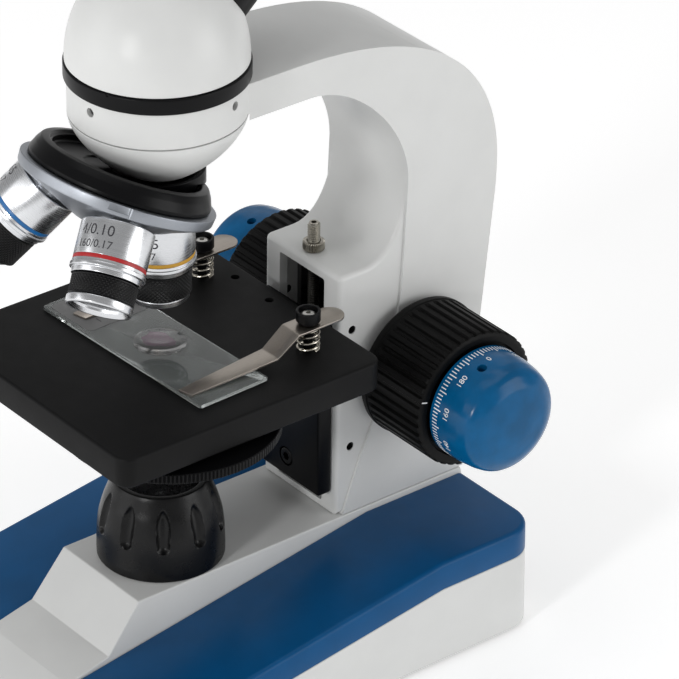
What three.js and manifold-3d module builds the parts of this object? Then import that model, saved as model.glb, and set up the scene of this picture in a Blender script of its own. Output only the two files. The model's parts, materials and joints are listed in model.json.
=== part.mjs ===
// A compound student microscope: cast base, C-shaped arm, focusing stage, triple nosepiece
// and a turning head with an inclined eyepiece tube. Millimetres, +Z up, +Y towards the arm.
//
// Everything is drawn in the optical frame: x = 0 and y = 0 on the optical axis, z = 0 on the
// top of the stage. The outer group then puts the floor at z = 0 and centres the footprint.
import * as THREE from 'three';
import { mergeVertices } from 'three/addons/utils/BufferGeometryUtils.js';
import Module from 'manifold-3d';

const wasm = await Module();
wasm.setup();

// ---------------------------------------------------------------- driving dimensions
const FLOOR = -111.4;           // the floor, below the stage top
const CENTRE_Y = 20;            // middle of the footprint, behind the optical axis
const GAP = 0.3;                // clearance between pieces that touch
const FINE = 24;                // sides of a large round
const ROUND = 14;               // sides of a small round

const BASE = {
  halfWidth: 58.2,
  front: -75.7,
  rear: 104.8,
  corner: 11,
  bottom: -109.7,
  wall: 3,
};
const WING = { kneeY: 65.7, rearTop: -74.7, frontTop: -95.6, kneeSplit: -84.1, frontSplit: -104.2 };
const SPINE = { half: 20.3, top: -72.9 };
const PLATE = { bottom: -110.8, top: -110.0, inset: 1.2 };
const FOOT = { r: 7, x: 44, front: -60, rear: 90, top: -108.2 };
const BATTERY = { half: 23.5, front: 42, rear: 98 };

const ARM = { half: 19.2, bottom: -72.6, throatBottom: 12.7, throatTop: 78.4, top: 90.3 };
const PILLAR = { half: 18.57, front: 54.5 };
const CAVITY = { half: 13.5, front: 57.5, rear: 92, bottom: -70.5, top: 9 };
const SLOT_HALF = 11;

const SHAFT = { y: 83.3, z: -25.8, sleeve: 4.2, core: 2.6, pinion: 5.4 };
const KNOB = { r: 22.6, inner: 21.6, outer: 49.4 };
const CAP = { r: 18.4, inner: 49.9, tip: 69.8 };

const STAGE = { half: 47.64, front: -48.4, rear: 48.56, thick: 10, corner: 5, aperture: 9.5 };
const BRACKET = { half: 16.2, front: 48.9, rear: 54.2, bottom: -64.9 };
const DISC = { x: 18.4, y: -9.5, r: 33.3, top: -12.6, bottom: -15.8 };
const POSTS = { right: [29, 34], left: [-26, 35.8] };
const CLIP = {
  tab: 13, round: 8.3, tip: -47, width: 4.2, tipWidth: 2.4, thick: 0.7, height: 8.6,
};
const SLIDE = { length: 76, width: 26, thick: 1.1, x: -1.1, y: -1.2, turn: 2.1 };
const STOP = { x: -1, y: 59.8 };

const LAMP = { bottom: -72.5, top: -45.5 };

const HEAD = { r: 26.7, seam: 80.2, cupBottom: 60.9, socketTop: 92, ringTop: 97.2, ringR: 27.7 };
const DOME = { r: 27.25, bottom: 97.5, centre: 98.3, height: 31.8, wall: 3 };
const TUBE = { z: 100.5, rise: 42, r: 15.3, start: 17, end: 112 };

const NOSE = { apex: 91.9, tilt: 25, spacing: 120 };
const COVER = { r: 28.3, bottom: 33.8, topR: 25.1, top: 27.7, dishR: 22.4, dish: 31 };
const TURRET = { r: 30.5, top: 34.1, rim: 37.4, face: 47, hub: 10 };
const SEAT = 47.3;              // start of an objective's barrel, from the cone's apex
const BARREL = { r: 11, ledge: 60.4, end: 63.3 };

// ---------------------------------------------------------------- materials
const paint = (color, roughness, metalness = 0) =>
  new THREE.MeshStandardMaterial({ color, roughness, metalness });
const WHITE = paint('#dfe0de', 0.45);
const BLUE = paint('#0d4a86', 0.35);
const BLACK = paint('#17181a', 0.5);
const STAGE_BLACK = paint('#1d1d1e', 0.55);
const RUBBER = paint('#141414', 0.9);
const CHROME = paint('#c9cbce', 0.22, 1);
const ALUMINIUM = paint('#a9adb2', 0.4, 1);
const STEEL = paint('#bdbdb8', 0.3, 1);
const BRASS = paint('#b8923f', 0.35, 1);
const GLASS = paint('#cfe6df', 0.05);
const PLASTIC = paint('#2a2b2d', 0.6);
const LAMP_WHITE = paint('#f4f1e4', 0.4);

// ---------------------------------------------------------------- geometry helpers
const radians = THREE.MathUtils.degToRad;
const loop = (points) => [...points, points[0]];
const shapeOf = (points) => new THREE.Shape(points.map(([a, b]) => new THREE.Vector2(a, b)));

// A closed solid from a three.js geometry, with its faces pointing out.
function solid(geometry) {
  const bare = geometry.clone();
  Object.keys(bare.attributes)
    .filter((name) => name !== 'position')
    .forEach((name) => bare.deleteAttribute(name));
  const merged = mergeVertices(bare, 1e-4);
  const index = merged.index.array;
  const corners = [];
  for (let i = 0; i < index.length; i += 3) {
    const [a, b, c] = index.slice(i, i + 3);
    if (a !== b && b !== c && c !== a) corners.push(a, b, c);
  }
  const build = (triVerts) => new wasm.Manifold(new wasm.Mesh({
    numProp: 3,
    vertProperties: Float32Array.from(merged.attributes.position.array),
    triVerts: Uint32Array.from(triVerts),
  }));
  const made = build(corners);
  if (made.volume() > 0) return made;
  return build(corners.reverse());
}

function geometryOf(made) {
  const mesh = made.getMesh();
  const geometry = new THREE.BufferGeometry();
  geometry.setAttribute('position', new THREE.BufferAttribute(mesh.vertProperties, 3));
  geometry.setIndex(new THREE.BufferAttribute(mesh.triVerts, 1));
  geometry.computeVertexNormals();
  return geometry;
}

function box([x0, x1], [y0, y1], [z0, z1]) {
  const geometry = new THREE.BoxGeometry(x1 - x0, y1 - y0, z1 - z0);
  return solid(geometry.translate((x0 + x1) / 2, (y0 + y1) / 2, (z0 + z1) / 2));
}

// A round about the z axis from [radius, z] points that start and end on the axis, or a closed ring.
function turned(points, sides = FINE) {
  const profile = points.map(([r, z]) => new THREE.Vector2(r, z));
  return solid(new THREE.LatheGeometry(profile, sides).rotateX(Math.PI / 2));
}

const rod = (r, z0, z1, sides = ROUND) => turned([[0, z0], [r, z0], [r, z1], [0, z1]], sides);
const tube = (outer, inner, z0, z1, sides = FINE) =>
  turned(loop([[inner, z0], [outer, z0], [outer, z1], [inner, z1]]), sides);

const moved = (made, x, y, z) => made.translate([x, y, z]);
const alongX = (made) => made.rotate([0, 90, 0]);

// A (y, z) outline pushed along x, with an optional chamfer on both sides.
function acrossX(points, x0, x1, chamfer = 0) {
  const geometry = new THREE.ExtrudeGeometry(Array.isArray(points) ? shapeOf(points) : points, {
    depth: x1 - x0 - 2 * chamfer,
    bevelEnabled: chamfer > 0,
    bevelThickness: chamfer,
    bevelSize: chamfer,
    bevelOffset: -chamfer,
    bevelSegments: 1,
    curveSegments: 10,
  });
  geometry.translate(0, 0, x0 + chamfer);
  const basis = new THREE.Matrix4().makeBasis(
    new THREE.Vector3(0, 1, 0), new THREE.Vector3(0, 0, 1), new THREE.Vector3(1, 0, 0));
  return solid(geometry.applyMatrix4(basis));
}

function upZ(shape, z0, z1, chamfer = 0) {
  const geometry = new THREE.ExtrudeGeometry(shape, {
    depth: z1 - z0 - 2 * chamfer,
    bevelEnabled: chamfer > 0,
    bevelThickness: chamfer,
    bevelSize: chamfer,
    bevelOffset: -chamfer,
    bevelSegments: 1,
    curveSegments: 4,
  });
  return solid(geometry.translate(0, 0, z0 + chamfer));
}

function roundedRectangle(x0, x1, y0, y1, r) {
  const shape = new THREE.Shape();
  shape.moveTo(x0 + r, y0);
  shape.lineTo(x1 - r, y0);
  shape.absarc(x1 - r, y0 + r, r, -Math.PI / 2, 0);
  shape.lineTo(x1, y1 - r);
  shape.absarc(x1 - r, y1 - r, r, 0, Math.PI / 2);
  shape.lineTo(x0 + r, y1);
  shape.absarc(x0 + r, y1 - r, r, Math.PI / 2, Math.PI);
  shape.lineTo(x0, y0 + r);
  shape.absarc(x0 + r, y0 + r, r, Math.PI, 1.5 * Math.PI);
  return shape;
}

function part(parent, name, made, material) {
  const mesh = new THREE.Mesh(geometryOf(made), material);
  mesh.name = name;
  parent.add(mesh);
  return mesh;
}

// ---------------------------------------------------------------- base
const footprint = (inset, z0, z1) => upZ(roundedRectangle(
  -BASE.halfWidth + inset, BASE.halfWidth - inset, BASE.front + inset, BASE.rear - inset,
  BASE.corner - inset), z0, z1);

// The region under the line where the side wings meet the white skirt, lowered by drop.
function underSplit(drop) {
  const far = BASE.rear + 20;
  return acrossX([
    [BASE.front, FLOOR - 20], [far, FLOOR - 20], [far, WING.kneeSplit - drop],
    [WING.kneeY, WING.kneeSplit - drop], [BASE.front, WING.frontSplit - drop],
  ], -BASE.halfWidth - 20, BASE.halfWidth + 20);
}

function underWingTop() {
  const far = BASE.rear + 20;
  return acrossX([
    [BASE.front, FLOOR - 20], [far, FLOOR - 20], [far, WING.rearTop],
    [WING.kneeY, WING.rearTop], [BASE.front, WING.frontTop],
  ], -BASE.halfWidth - 20, BASE.halfWidth + 20);
}

// The raised white spine: toe, sloping front panel, lamp deck.
function spineBlock(half, shrink) {
  return acrossX([
    [BASE.front + shrink, BASE.bottom - shrink * 3], [BASE.rear - shrink, BASE.bottom - shrink * 3],
    [BASE.rear - shrink, SPINE.top - shrink], [-23 + shrink * 0.6, SPINE.top - shrink],
    [-35 + shrink * 0.6, -87.8 - shrink], [-50.5 + shrink * 0.4, -91.6 - shrink],
    [BASE.front + shrink, -104.2 - shrink * 0.4],
  ], -half, half);
}

function switchOpening() {
  return box([22, 42], [BASE.rear - 12, BASE.rear + 5], [-101, -89]);
}

function inletOpening() {
  return box([-38.3, -25.7], [BASE.rear - 14, BASE.rear + 5], [-101.3, -88.7]);
}

function baseShell() {
  const skirt = footprint(0, BASE.bottom, -70).intersect(underSplit(0));
  const hollow = footprint(BASE.wall, BASE.bottom - 5, -70).intersect(underSplit(BASE.wall))
    .add(spineBlock(SPINE.half - BASE.wall, BASE.wall));
  return skirt.add(spineBlock(SPINE.half, 0).intersect(footprint(0, BASE.bottom, -60)))
    .subtract(hollow)
    .subtract(switchOpening())
    .subtract(inletOpening());
}

function wing(side) {
  const inner = SPINE.half + GAP;
  const half = side > 0
    ? box([inner, BASE.halfWidth + 5], [-200, 200], [-200, 0])
    : box([-BASE.halfWidth - 5, -inner], [-200, 200], [-200, 0]);
  return footprint(0, BASE.bottom, -60).intersect(underWingTop())
    .subtract(underSplit(-GAP)).intersect(half);
}

function bottomPlate() {
  let plate = footprint(PLATE.inset, PLATE.bottom, PLATE.top);
  for (const [x, y] of footPlaces()) {
    plate = plate.subtract(moved(rod(FOOT.r + 0.4, FLOOR - 5, FLOOR + 20), x, y, 0));
  }
  return plate.subtract(box(
    [-BATTERY.half - 2, BATTERY.half + 2], [BATTERY.front - 2, BATTERY.rear - 2],
    [FLOOR - 5, FLOOR + 20]));
}

function footPlaces() {
  return [[-FOOT.x, FOOT.front], [FOOT.x, FOOT.front], [-FOOT.x, FOOT.rear], [FOOT.x, FOOT.rear]];
}

function batteryCover() {
  return box([-BATTERY.half - 1.6, BATTERY.half + 1.6], [BATTERY.front - 1.6, BATTERY.rear - 2.4],
    [PLATE.bottom, PLATE.top]);
}

function batteryHolder() {
  const cell = 14.5;
  let holder = box([-BATTERY.half + 0.5, BATTERY.half - 0.5], [BATTERY.front, BATTERY.rear - 4],
    [PLATE.top + 1, -93]);
  for (const x of [-15, 0, 15]) {
    const bay = rod(cell / 2 - 0.2, -26, 26, 12).rotate([90, 0, 0]);
    holder = holder.subtract(moved(bay, x, 69, -93));
  }
  return holder;
}

// The rocker: a shallow bent cap that stands with its lower half pushed in.
function powerSwitch() {
  const cap = acrossX([
    [-7, -5.2], [0, -5.2], [1.6, 0], [0, 5.2], [-7, 5.2],
  ], -9.2, 9.2);
  return cap.rotate([7, 0, 0]);
}

function dcInlet() {
  const body = box([-38, -26], [BASE.rear - 13, BASE.rear + 1.2], [-101, -89]);
  return body.subtract(box([-35.5, -28.5], [BASE.rear - 10, BASE.rear + 5], [-98.5, -91.5]));
}

function addBase(parent) {
  part(parent, 'base_shell', baseShell(), WHITE);
  part(parent, 'left_wing', wing(-1), BLUE);
  part(parent, 'right_wing', wing(1), BLUE);
  part(parent, 'bottom_plate', bottomPlate(), BLACK);
  part(parent, 'battery_cover', batteryCover(), PLASTIC);
  part(parent, 'battery_holder', batteryHolder(), PLASTIC);
  part(parent, 'dc_inlet', dcInlet(), PLASTIC);
  const names = ['foot_front_left', 'foot_front_right', 'foot_rear_left', 'foot_rear_right'];
  footPlaces().forEach(([x, y], i) => {
    part(parent, names[i], moved(rod(FOOT.r, FLOOR, FOOT.top, ROUND), x, y, 0), RUBBER);
  });
  const rocker = part(parent, 'power_switch', powerSwitch(), BLACK);
  rocker.position.set(32, BASE.rear, -95);
}

// ---------------------------------------------------------------- lamp
function lampHousing() {
  const outer = [
    [19.8, LAMP.bottom], [19.9, -68], [19.6, -62.6], [18.8, -57.2], [17.6, -53], [15.9, -48.7],
    [14.6, LAMP.top],
  ];
  return turned(loop([...outer, [12.6, LAMP.top], [12.2, -52], [12.2, LAMP.bottom]]));
}

function collectorLens() {
  return turned([[0, -51], [11.9, -51], [11.9, -48.6], [8.5, -46.6], [4.5, -45.6], [0, -45.3]], ROUND);
}

function addLamp(parent) {
  part(parent, 'lamp_housing', lampHousing(), BLACK);
  part(parent, 'collector_lens', collectorLens(), GLASS);
  part(parent, 'led_lamp', turned([
    [0, LAMP.bottom], [8, LAMP.bottom], [8, -70.8], [2.5, -70.8], [2.5, -69], [1.4, -67.8], [0, -67.4],
  ], ROUND), LAMP_WHITE);
}

// ---------------------------------------------------------------- arm
// The side outline of the arm: straight back, round shoulder, level top, tall throat.
function armOutline() {
  const shape = new THREE.Shape();
  shape.moveTo(56.4, ARM.bottom);
  shape.lineTo(105.4, ARM.bottom);
  shape.lineTo(114.9, 20);
  shape.quadraticCurveTo(115.7, 27, 115.7, 33.7);
  shape.bezierCurveTo(115.7, 69.9, 87.7, ARM.top, 38, ARM.top);
  shape.lineTo(12, ARM.top);
  shape.lineTo(12, ARM.throatTop);
  shape.lineTo(41.7, ARM.throatTop);
  shape.bezierCurveTo(59.7, ARM.throatTop, 80.1, 57.2, 80.1, 38.4);
  shape.lineTo(78.3, 0.6);
  shape.quadraticCurveTo(74.5, -31, 63.2, -54.1);
  return shape;
}

// The hollow curve that carries the pillar's top up into the arm.
function throatFillet() {
  const shape = new THREE.Shape();
  shape.moveTo(66, ARM.throatBottom - 0.3);
  shape.bezierCurveTo(73.8, ARM.throatBottom - 0.3, 80.1, 24.2, 80.1, 38.4);
  shape.lineTo(84, 38.4);
  shape.lineTo(84, ARM.throatBottom - 0.3);
  return acrossX(shape, -PILLAR.half, PILLAR.half);
}

function armBody() {
  const back = acrossX(armOutline(), -ARM.half, ARM.half, 2);
  const pillar = acrossX([
    [PILLAR.front, ARM.bottom], [90, ARM.bottom], [90, ARM.throatBottom - 0.3],
    [PILLAR.front + 1.5, ARM.throatBottom - 0.3], [PILLAR.front, ARM.throatBottom - 1.8],
  ], -PILLAR.half, PILLAR.half);
  const socket = rod(HEAD.r, HEAD.seam + 0.3, HEAD.socketTop, FINE);
  return back.add(pillar).add(throatFillet()).add(socket);
}

function armCuts() {
  const cavity = box([-CAVITY.half, CAVITY.half], [CAVITY.front, CAVITY.rear],
    [CAVITY.bottom, CAVITY.top]);
  const slot = box([-SLOT_HALF, SLOT_HALF], [PILLAR.front - 5, CAVITY.front + 1], [CAVITY.bottom, 8.9]);
  const bore = rod(SHAFT.sleeve + 0.4, -40, 40);
  const shaft = moved(alongX(bore), 0, SHAFT.y, SHAFT.z);
  const stop = moved(rod(2.3, 5, 16, 12), STOP.x, STOP.y, 0);
  const headBore = rod(22.5, HEAD.seam + 3, HEAD.socketTop + 5, FINE).add(rod(12, 70, 100));
  const cupRoom = rod(HEAD.r + 0.4, 60, HEAD.seam + GAP, FINE);
  return cavity.add(slot).add(shaft).add(stop).add(headBore).add(cupRoom);
}

function guideRail(side) {
  const [inner, outer] = [11.3, CAVITY.half - GAP];
  const span = side > 0 ? [inner, outer] : [-outer, -inner];
  return box(span, [63.3, 74], [CAVITY.bottom + GAP, CAVITY.top - GAP]);
}

function addArm(parent) {
  part(parent, 'arm', armBody().subtract(armCuts()), WHITE);
  part(parent, 'guide_rail_left', guideRail(-1), STEEL);
  part(parent, 'guide_rail_right', guideRail(1), STEEL);
  const screw = part(parent, 'stop_screw', rod(1.9, -9.8, 22, 12), STEEL);
  screw.position.set(STOP.x, STOP.y, 0);
  const nut = part(parent, 'stop_nut', tube(3.4, 2.2, 12.7, 15.7, 18), STEEL);
  nut.position.set(STOP.x, STOP.y, 0);
}

// ---------------------------------------------------------------- focus drive
function coarseKnob(side) {
  const r = KNOB.r;
  const body = turned(loop([
    [4.5, KNOB.inner], [r - 1.6, KNOB.inner], [r, KNOB.inner + 1.6], [r, KNOB.outer - 4],
    [r - 1.8, KNOB.outer], [CAP.r + 0.6, KNOB.outer], [CAP.r + 0.6, KNOB.outer - 1.5],
    [4.5, KNOB.outer - 1.5],
  ]), 28);
  return body.rotate([0, side * 90, 0]);
}

function fineCap(side) {
  const body = turned([
    [SHAFT.core + GAP, CAP.inner], [CAP.r, CAP.inner], [CAP.r - 0.4, 60], [17.3, 63], [15.4, 66],
    [12.5, 68], [8, 69.3], [0, CAP.tip], [0, 66.5], [SHAFT.core + GAP, 66.5], [SHAFT.core + GAP, CAP.inner],
  ], FINE);
  return body.rotate([0, side * 90, 0]);
}

function pinion() {
  const teeth = 16;
  const shape = new THREE.Shape();
  for (let i = 0; i < teeth; i += 1) {
    const at = (i / teeth) * 2 * Math.PI;
    const step = (2 * Math.PI) / teeth;
    for (const [turn, r] of [[0, 4.6], [0.25, SHAFT.pinion], [0.5, SHAFT.pinion], [0.75, 4.6]]) {
      const a = at + turn * step;
      if (i + turn === 0) shape.moveTo(r * Math.cos(a), r * Math.sin(a));
      else shape.lineTo(r * Math.cos(a), r * Math.sin(a));
    }
  }
  const gear = upZ(shape, -7, 7);
  return gear.subtract(rod(SHAFT.sleeve + 0.1, -9, 9, ROUND)).rotate([0, 90, 0]);
}

function addFocusDrive(parent) {
  const drive = new THREE.Group();
  drive.position.set(0, SHAFT.y, SHAFT.z);
  parent.add(drive);
  const reach = KNOB.inner + 12;
  part(drive, 'coarse_shaft', alongX(tube(SHAFT.sleeve, SHAFT.core + GAP, -reach, reach, ROUND)), STEEL);
  part(drive, 'focus_pinion', pinion(), BRASS);
  part(drive, 'fine_shaft', alongX(rod(SHAFT.core, -66.2, 66.2, ROUND)), STEEL);
  for (const [word, side] of [['left', -1], ['right', 1]]) {
    part(drive, `coarse_knob_${word}`, coarseKnob(side), BLACK);
    part(drive, `fine_knob_${word}`, fineCap(side), BLUE);
  }
}

function carriage() {
  const web = box([-10.4, 10.4], [54.8, 63.2], [-62, -19.5]);
  const block = box([-11, 11], [63, 74.5], [-62, -8]);
  return web.add(block);
}

// A toothed bar facing the pinion.
function focusRack() {
  const [y0, y1, bottom, teeth, pitch] = [74.8, 77.6, -52, 20, 1.963];
  const points = [[y0, bottom]];
  for (let i = 0; i < teeth; i += 1) {
    const z = bottom + i * pitch;
    points.push([y1 - 0.8, z], [y1, z + pitch * 0.3], [y1, z + pitch * 0.6], [y1 - 0.8, z + pitch * 0.9]);
  }
  points.push([y0, bottom + teeth * pitch]);
  return acrossX(points, -4, 4);
}

// ---------------------------------------------------------------- stage
function stagePlate() {
  const plate = upZ(roundedRectangle(-STAGE.half, STAGE.half, STAGE.front, STAGE.rear, STAGE.corner),
    -STAGE.thick, 0, 0.6);
  const holes = [[-19.1, 43.4], [-1.5, 43]].map(([x, y]) => moved(rod(1.4, -4, 5, 12), x, y, 0));
  return holes.reduce((rest, hole) => rest.subtract(hole), plate.subtract(rod(STAGE.aperture, -20, 20)));
}

function stageBracket() {
  const upright = box([-BRACKET.half, BRACKET.half], [BRACKET.front, BRACKET.rear], [BRACKET.bottom, -0.6]);
  const shelf = box([-15, 15], [30, BRACKET.front + 0.5], [-16.5, -STAGE.thick - GAP]);
  const screw = moved(rod(3.1, 0, 6, 16).rotate([90, 0, 0]), 0, 52, -57.6);
  return upright.add(shelf).subtract(screw);
}

function bracketScrew() {
  const head = rod(2.8, 0, 3, 16).subtract(rod(1.4, 1.2, 5, 6));
  return moved(head.rotate([90, 0, 0]), 0, 51.6, -57.6);
}

function discDiaphragm() {
  const reach = Math.hypot(DISC.x, DISC.y);
  const start = Math.atan2(-DISC.y, -DISC.x);
  let disc = rod(DISC.r, DISC.bottom, DISC.top, 36).subtract(rod(2.3, -30, 0, 12));
  [8, 6.4, 4.8, 3.4, 2].forEach((r, i) => {
    const a = start + (i * 2 * Math.PI) / 5;
    disc = disc.subtract(moved(rod(r, -30, 0, 12), reach * Math.cos(a), reach * Math.sin(a), 0));
  });
  return disc;
}

function diaphragmPivot() {
  return turned([
    [0, DISC.bottom - 2.2], [4, DISC.bottom - 2.2], [4, DISC.bottom - GAP], [1.9, DISC.bottom - GAP],
    [1.9, DISC.top + GAP], [5, DISC.top + GAP], [5, -STAGE.thick - GAP], [0, -STAGE.thick - GAP],
  ], 12);
}

function clipPost() {
  const cap = CLIP.height + CLIP.thick + GAP;
  return turned([
    [0, 0.3], [1.6, 0.3], [1.6, cap], [3.1, cap], [3.1, cap + 0.7], [3.8, cap + 0.7], [3.8, 13.4],
    [3.4, 13.7], [0, 13.7],
  ], 14);
}

// A spring strip: raised tab under the post's cap, a bend, and a flat finger on the glass.
function stageClip() {
  const t = CLIP.thick;
  const high = CLIP.height;
  const side = acrossX([
    [CLIP.tab, high], [CLIP.tab, high + t], [-6.7, high + t], [-14.4, 3.1 + t],
    [CLIP.tip, 1.75 + t], [CLIP.tip, 1.75], [-14.8, 3.1], [-7.1, high],
  ], -10, 10);
  const plan = new THREE.Shape();
  plan.moveTo(-CLIP.tipWidth, CLIP.tip + 1.5);
  plan.lineTo(CLIP.tipWidth, CLIP.tip);
  plan.lineTo(CLIP.width, -8);
  plan.lineTo(CLIP.width, CLIP.round);
  plan.absarc(0, CLIP.round, CLIP.width, 0, Math.PI);
  plan.lineTo(-CLIP.width, -8);
  return side.intersect(upZ(plan, -5, 20)).subtract(rod(2, 0, 20, 12));
}

function addStage(parent) {
  part(parent, 'carriage', carriage(), BLACK);
  part(parent, 'focus_rack', focusRack(), BRASS);
  part(parent, 'stage_plate', stagePlate(), STAGE_BLACK);
  part(parent, 'stage_bracket', stageBracket(), STAGE_BLACK);
  part(parent, 'bracket_screw', bracketScrew(), STEEL);
  const disc = part(parent, 'disc_diaphragm', discDiaphragm(), BLACK);
  disc.position.set(DISC.x, DISC.y, 0);
  const pivot = part(parent, 'diaphragm_pivot', diaphragmPivot(), STEEL);
  pivot.position.set(DISC.x, DISC.y, 0);
  for (const [word, [x, y]] of Object.entries(POSTS)) {
    const pieces = {
      [`clip_post_${word}`]: [clipPost(), BLACK],
      [`clip_spring_${word}`]: [tube(3.7, 2.6, 0.4, CLIP.height - GAP, 12), STEEL],
      [`stage_clip_${word}`]: [stageClip(), STEEL],
    };
    for (const [name, [made, material]] of Object.entries(pieces)) {
      part(parent, name, made, material).position.set(x, y, 0);
    }
  }
  const [l, w] = [SLIDE.length / 2, SLIDE.width / 2];
  const slide = part(parent, 'specimen_slide', box([-l, l], [-w, w], [0.25, 0.25 + SLIDE.thick]), GLASS);
  slide.position.set(SLIDE.x, SLIDE.y, 0);
  slide.rotation.z = radians(SLIDE.turn);
}

// ---------------------------------------------------------------- fixed head
// The nosepiece's frame: origin at the apex of the objectives' cone, -z down the turning axis.
const turretFrame = (made) => made.rotate([-NOSE.tilt, 0, 0]).translate([0, 0, NOSE.apex]);
const inTurret = (made) => made.translate([0, 0, -NOSE.apex]).rotate([NOSE.tilt, 0, 0]);

// Everything on the far side of the nosepiece cover's dished top.
const coverSide = () => turretFrame(turned([
  [0, -90], [60, -90], [60, -COVER.top + GAP], [COVER.dishR - GAP, -COVER.top + GAP],
  [COVER.dishR - GAP, -COVER.dish + GAP], [0, -COVER.dish + GAP],
]));

const cupRadius = (z) => {
  const depth = 22.8;
  const power = 1.47;
  return HEAD.r * (1 - ((HEAD.seam - z) / depth) ** power) ** (1 / power);
};

function headCup() {
  const levels = [HEAD.cupBottom, 63, 65.5, 69, 73, 77, HEAD.seam - 0.01];
  const wall = 2.6;
  const outer = levels.map((z) => [cupRadius(z), z]);
  const inner = levels.slice(2).reverse().map((z) => [cupRadius(z) - wall, z]);
  return turned(loop([...outer, ...inner, [7.5, 64.5], [7.5, HEAD.cupBottom]]))
    .subtract(coverSide());
}

function headRing() {
  return tube(HEAD.ringR, 22.5, HEAD.socketTop + GAP, HEAD.ringTop);
}

// ---------------------------------------------------------------- nosepiece
function noseCover() {
  const plate = turned([
    [0, -COVER.bottom], [COVER.r, -COVER.bottom], [COVER.r, -COVER.bottom + 1],
    [COVER.topR + 2, -COVER.top - 2.2], [COVER.topR + 1, -COVER.top - 0.6],
    [COVER.topR, -COVER.top], [COVER.dishR + 0.8, -COVER.top],
    [COVER.dishR, -COVER.top - 0.6], [COVER.dishR, -COVER.dish], [0, -COVER.dish],
  ]);
  return plate.subtract(inTurret(rod(8, 30, 90))).subtract(rod(3.4, -50, 0, 16));
}

function noseCollar() {
  const top = HEAD.cupBottom - GAP;
  return turned(loop([
    [9, 45], [14.2, 45], [14.2, top + 1.4], [13.1, top + 1.4], [12, top], [9, top],
  ])).subtract(coverSide());
}

function turretBody() {
  let body = turned([
    [0, -TURRET.face], [TURRET.hub, -TURRET.face], [TURRET.r, -TURRET.rim], [TURRET.r, -TURRET.top],
    [0, -TURRET.top],
  ]).subtract(rod(3.4, -60, 0, 16));
  for (let k = 0; k < 3; k += 1) {
    const bore = rod(7.9, -60, -20, 16).rotate([NOSE.tilt, 0, 0]).rotate([0, 0, k * NOSE.spacing]);
    body = body.subtract(bore);
  }
  return body;
}

function pivotScrew() {
  return turned([
    [0, -49.6], [5.4, -49.6], [6.2, -48.8], [6.2, -TURRET.face - GAP], [3, -TURRET.face - GAP],
    [3, -COVER.dish - 0.6], [0, -COVER.dish - 0.6],
  ], 20);
}

function objectiveBarrel() {
  return turned(loop([
    [5, -43], [7.5, -43], [7.5, -SEAT], [BARREL.r, -SEAT], [BARREL.r, -BARREL.ledge],
    [BARREL.r + 0.3, -BARREL.ledge - 0.1], [BARREL.r + 0.3, -BARREL.ledge - 1.1],
    [10.4, -BARREL.ledge - 1.5], [10.2, -BARREL.end], [5, -BARREL.end],
  ]), 20);
}

function objectiveNose(grip, reach, tip) {
  return turned(loop([
    [4, -BARREL.end - GAP], [9.7, -BARREL.end - GAP], [9.6, -grip], [tip, -grip - 1],
    [tip, -reach], [tip - 2.2, -reach], [4, -reach + 2.5],
  ]), 20);
}

function addNosepiece(parent) {
  const axis = new THREE.Group();
  axis.position.set(0, 0, NOSE.apex);
  axis.rotation.x = radians(-NOSE.tilt);
  parent.add(axis);
  part(axis, 'nosepiece_cover', noseCover(), BLACK);
  part(axis, 'turret_body', turretBody(), ALUMINIUM);
  part(axis, 'turret_pivot_screw', pivotScrew(), STEEL);
  const objectives = [
    ['10x', 0, 72, 74.3, 9.2], ['4x', -1, 69.5, 72.4, 9.9], ['40x', 1, 73.5, 81, 5.6],
  ];
  for (const [power, place, grip, reach, tip] of objectives) {
    const spoke = new THREE.Group();
    spoke.rotation.z = radians(place * NOSE.spacing);
    const seat = new THREE.Group();
    seat.rotation.x = radians(NOSE.tilt);
    axis.add(spoke);
    spoke.add(seat);
    part(seat, `objective_${power}_barrel`, objectiveBarrel(), CHROME);
    part(seat, `objective_${power}_nose`, objectiveNose(grip, reach, tip), BLACK);
  }
}

// ---------------------------------------------------------------- turning head and eyepiece
const tubeSlope = new THREE.Matrix4().makeRotationX(-radians(90 - TUBE.rise));
const inTube = (made) => made.rotate([-(90 - TUBE.rise), 0, 0]).translate([0, 0, TUBE.z]);

function domeProfile(shrink) {
  const steps = 6;
  const points = [];
  for (let i = 0; i <= steps; i += 1) {
    const a = (i / steps) * Math.PI * 0.5;
    points.push([(DOME.r - shrink) * Math.cos(a), DOME.centre + (DOME.height - shrink) * Math.sin(a)]);
  }
  points[steps][0] = 0;
  return points;
}

function headDome() {
  const outer = [[DOME.r, DOME.bottom], ...domeProfile(0)];
  const inner = [...domeProfile(DOME.wall).reverse(), [DOME.r - DOME.wall, DOME.bottom]];
  const shell = turned(loop([...outer, ...inner]));
  return shell.subtract(inTube(rod(TUBE.r + GAP, 5, 60, FINE)));
}

function prism() {
  return acrossX([[-9, 99], [7, 99], [-4, 112]], -8, 8);
}

function prismSeat() {
  const plate = rod(DOME.r - DOME.wall - GAP, DOME.bottom, DOME.bottom + 1.2, ROUND);
  return plate.subtract(box([-6, 6], [-8, 6], [90, 105]));
}

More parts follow.
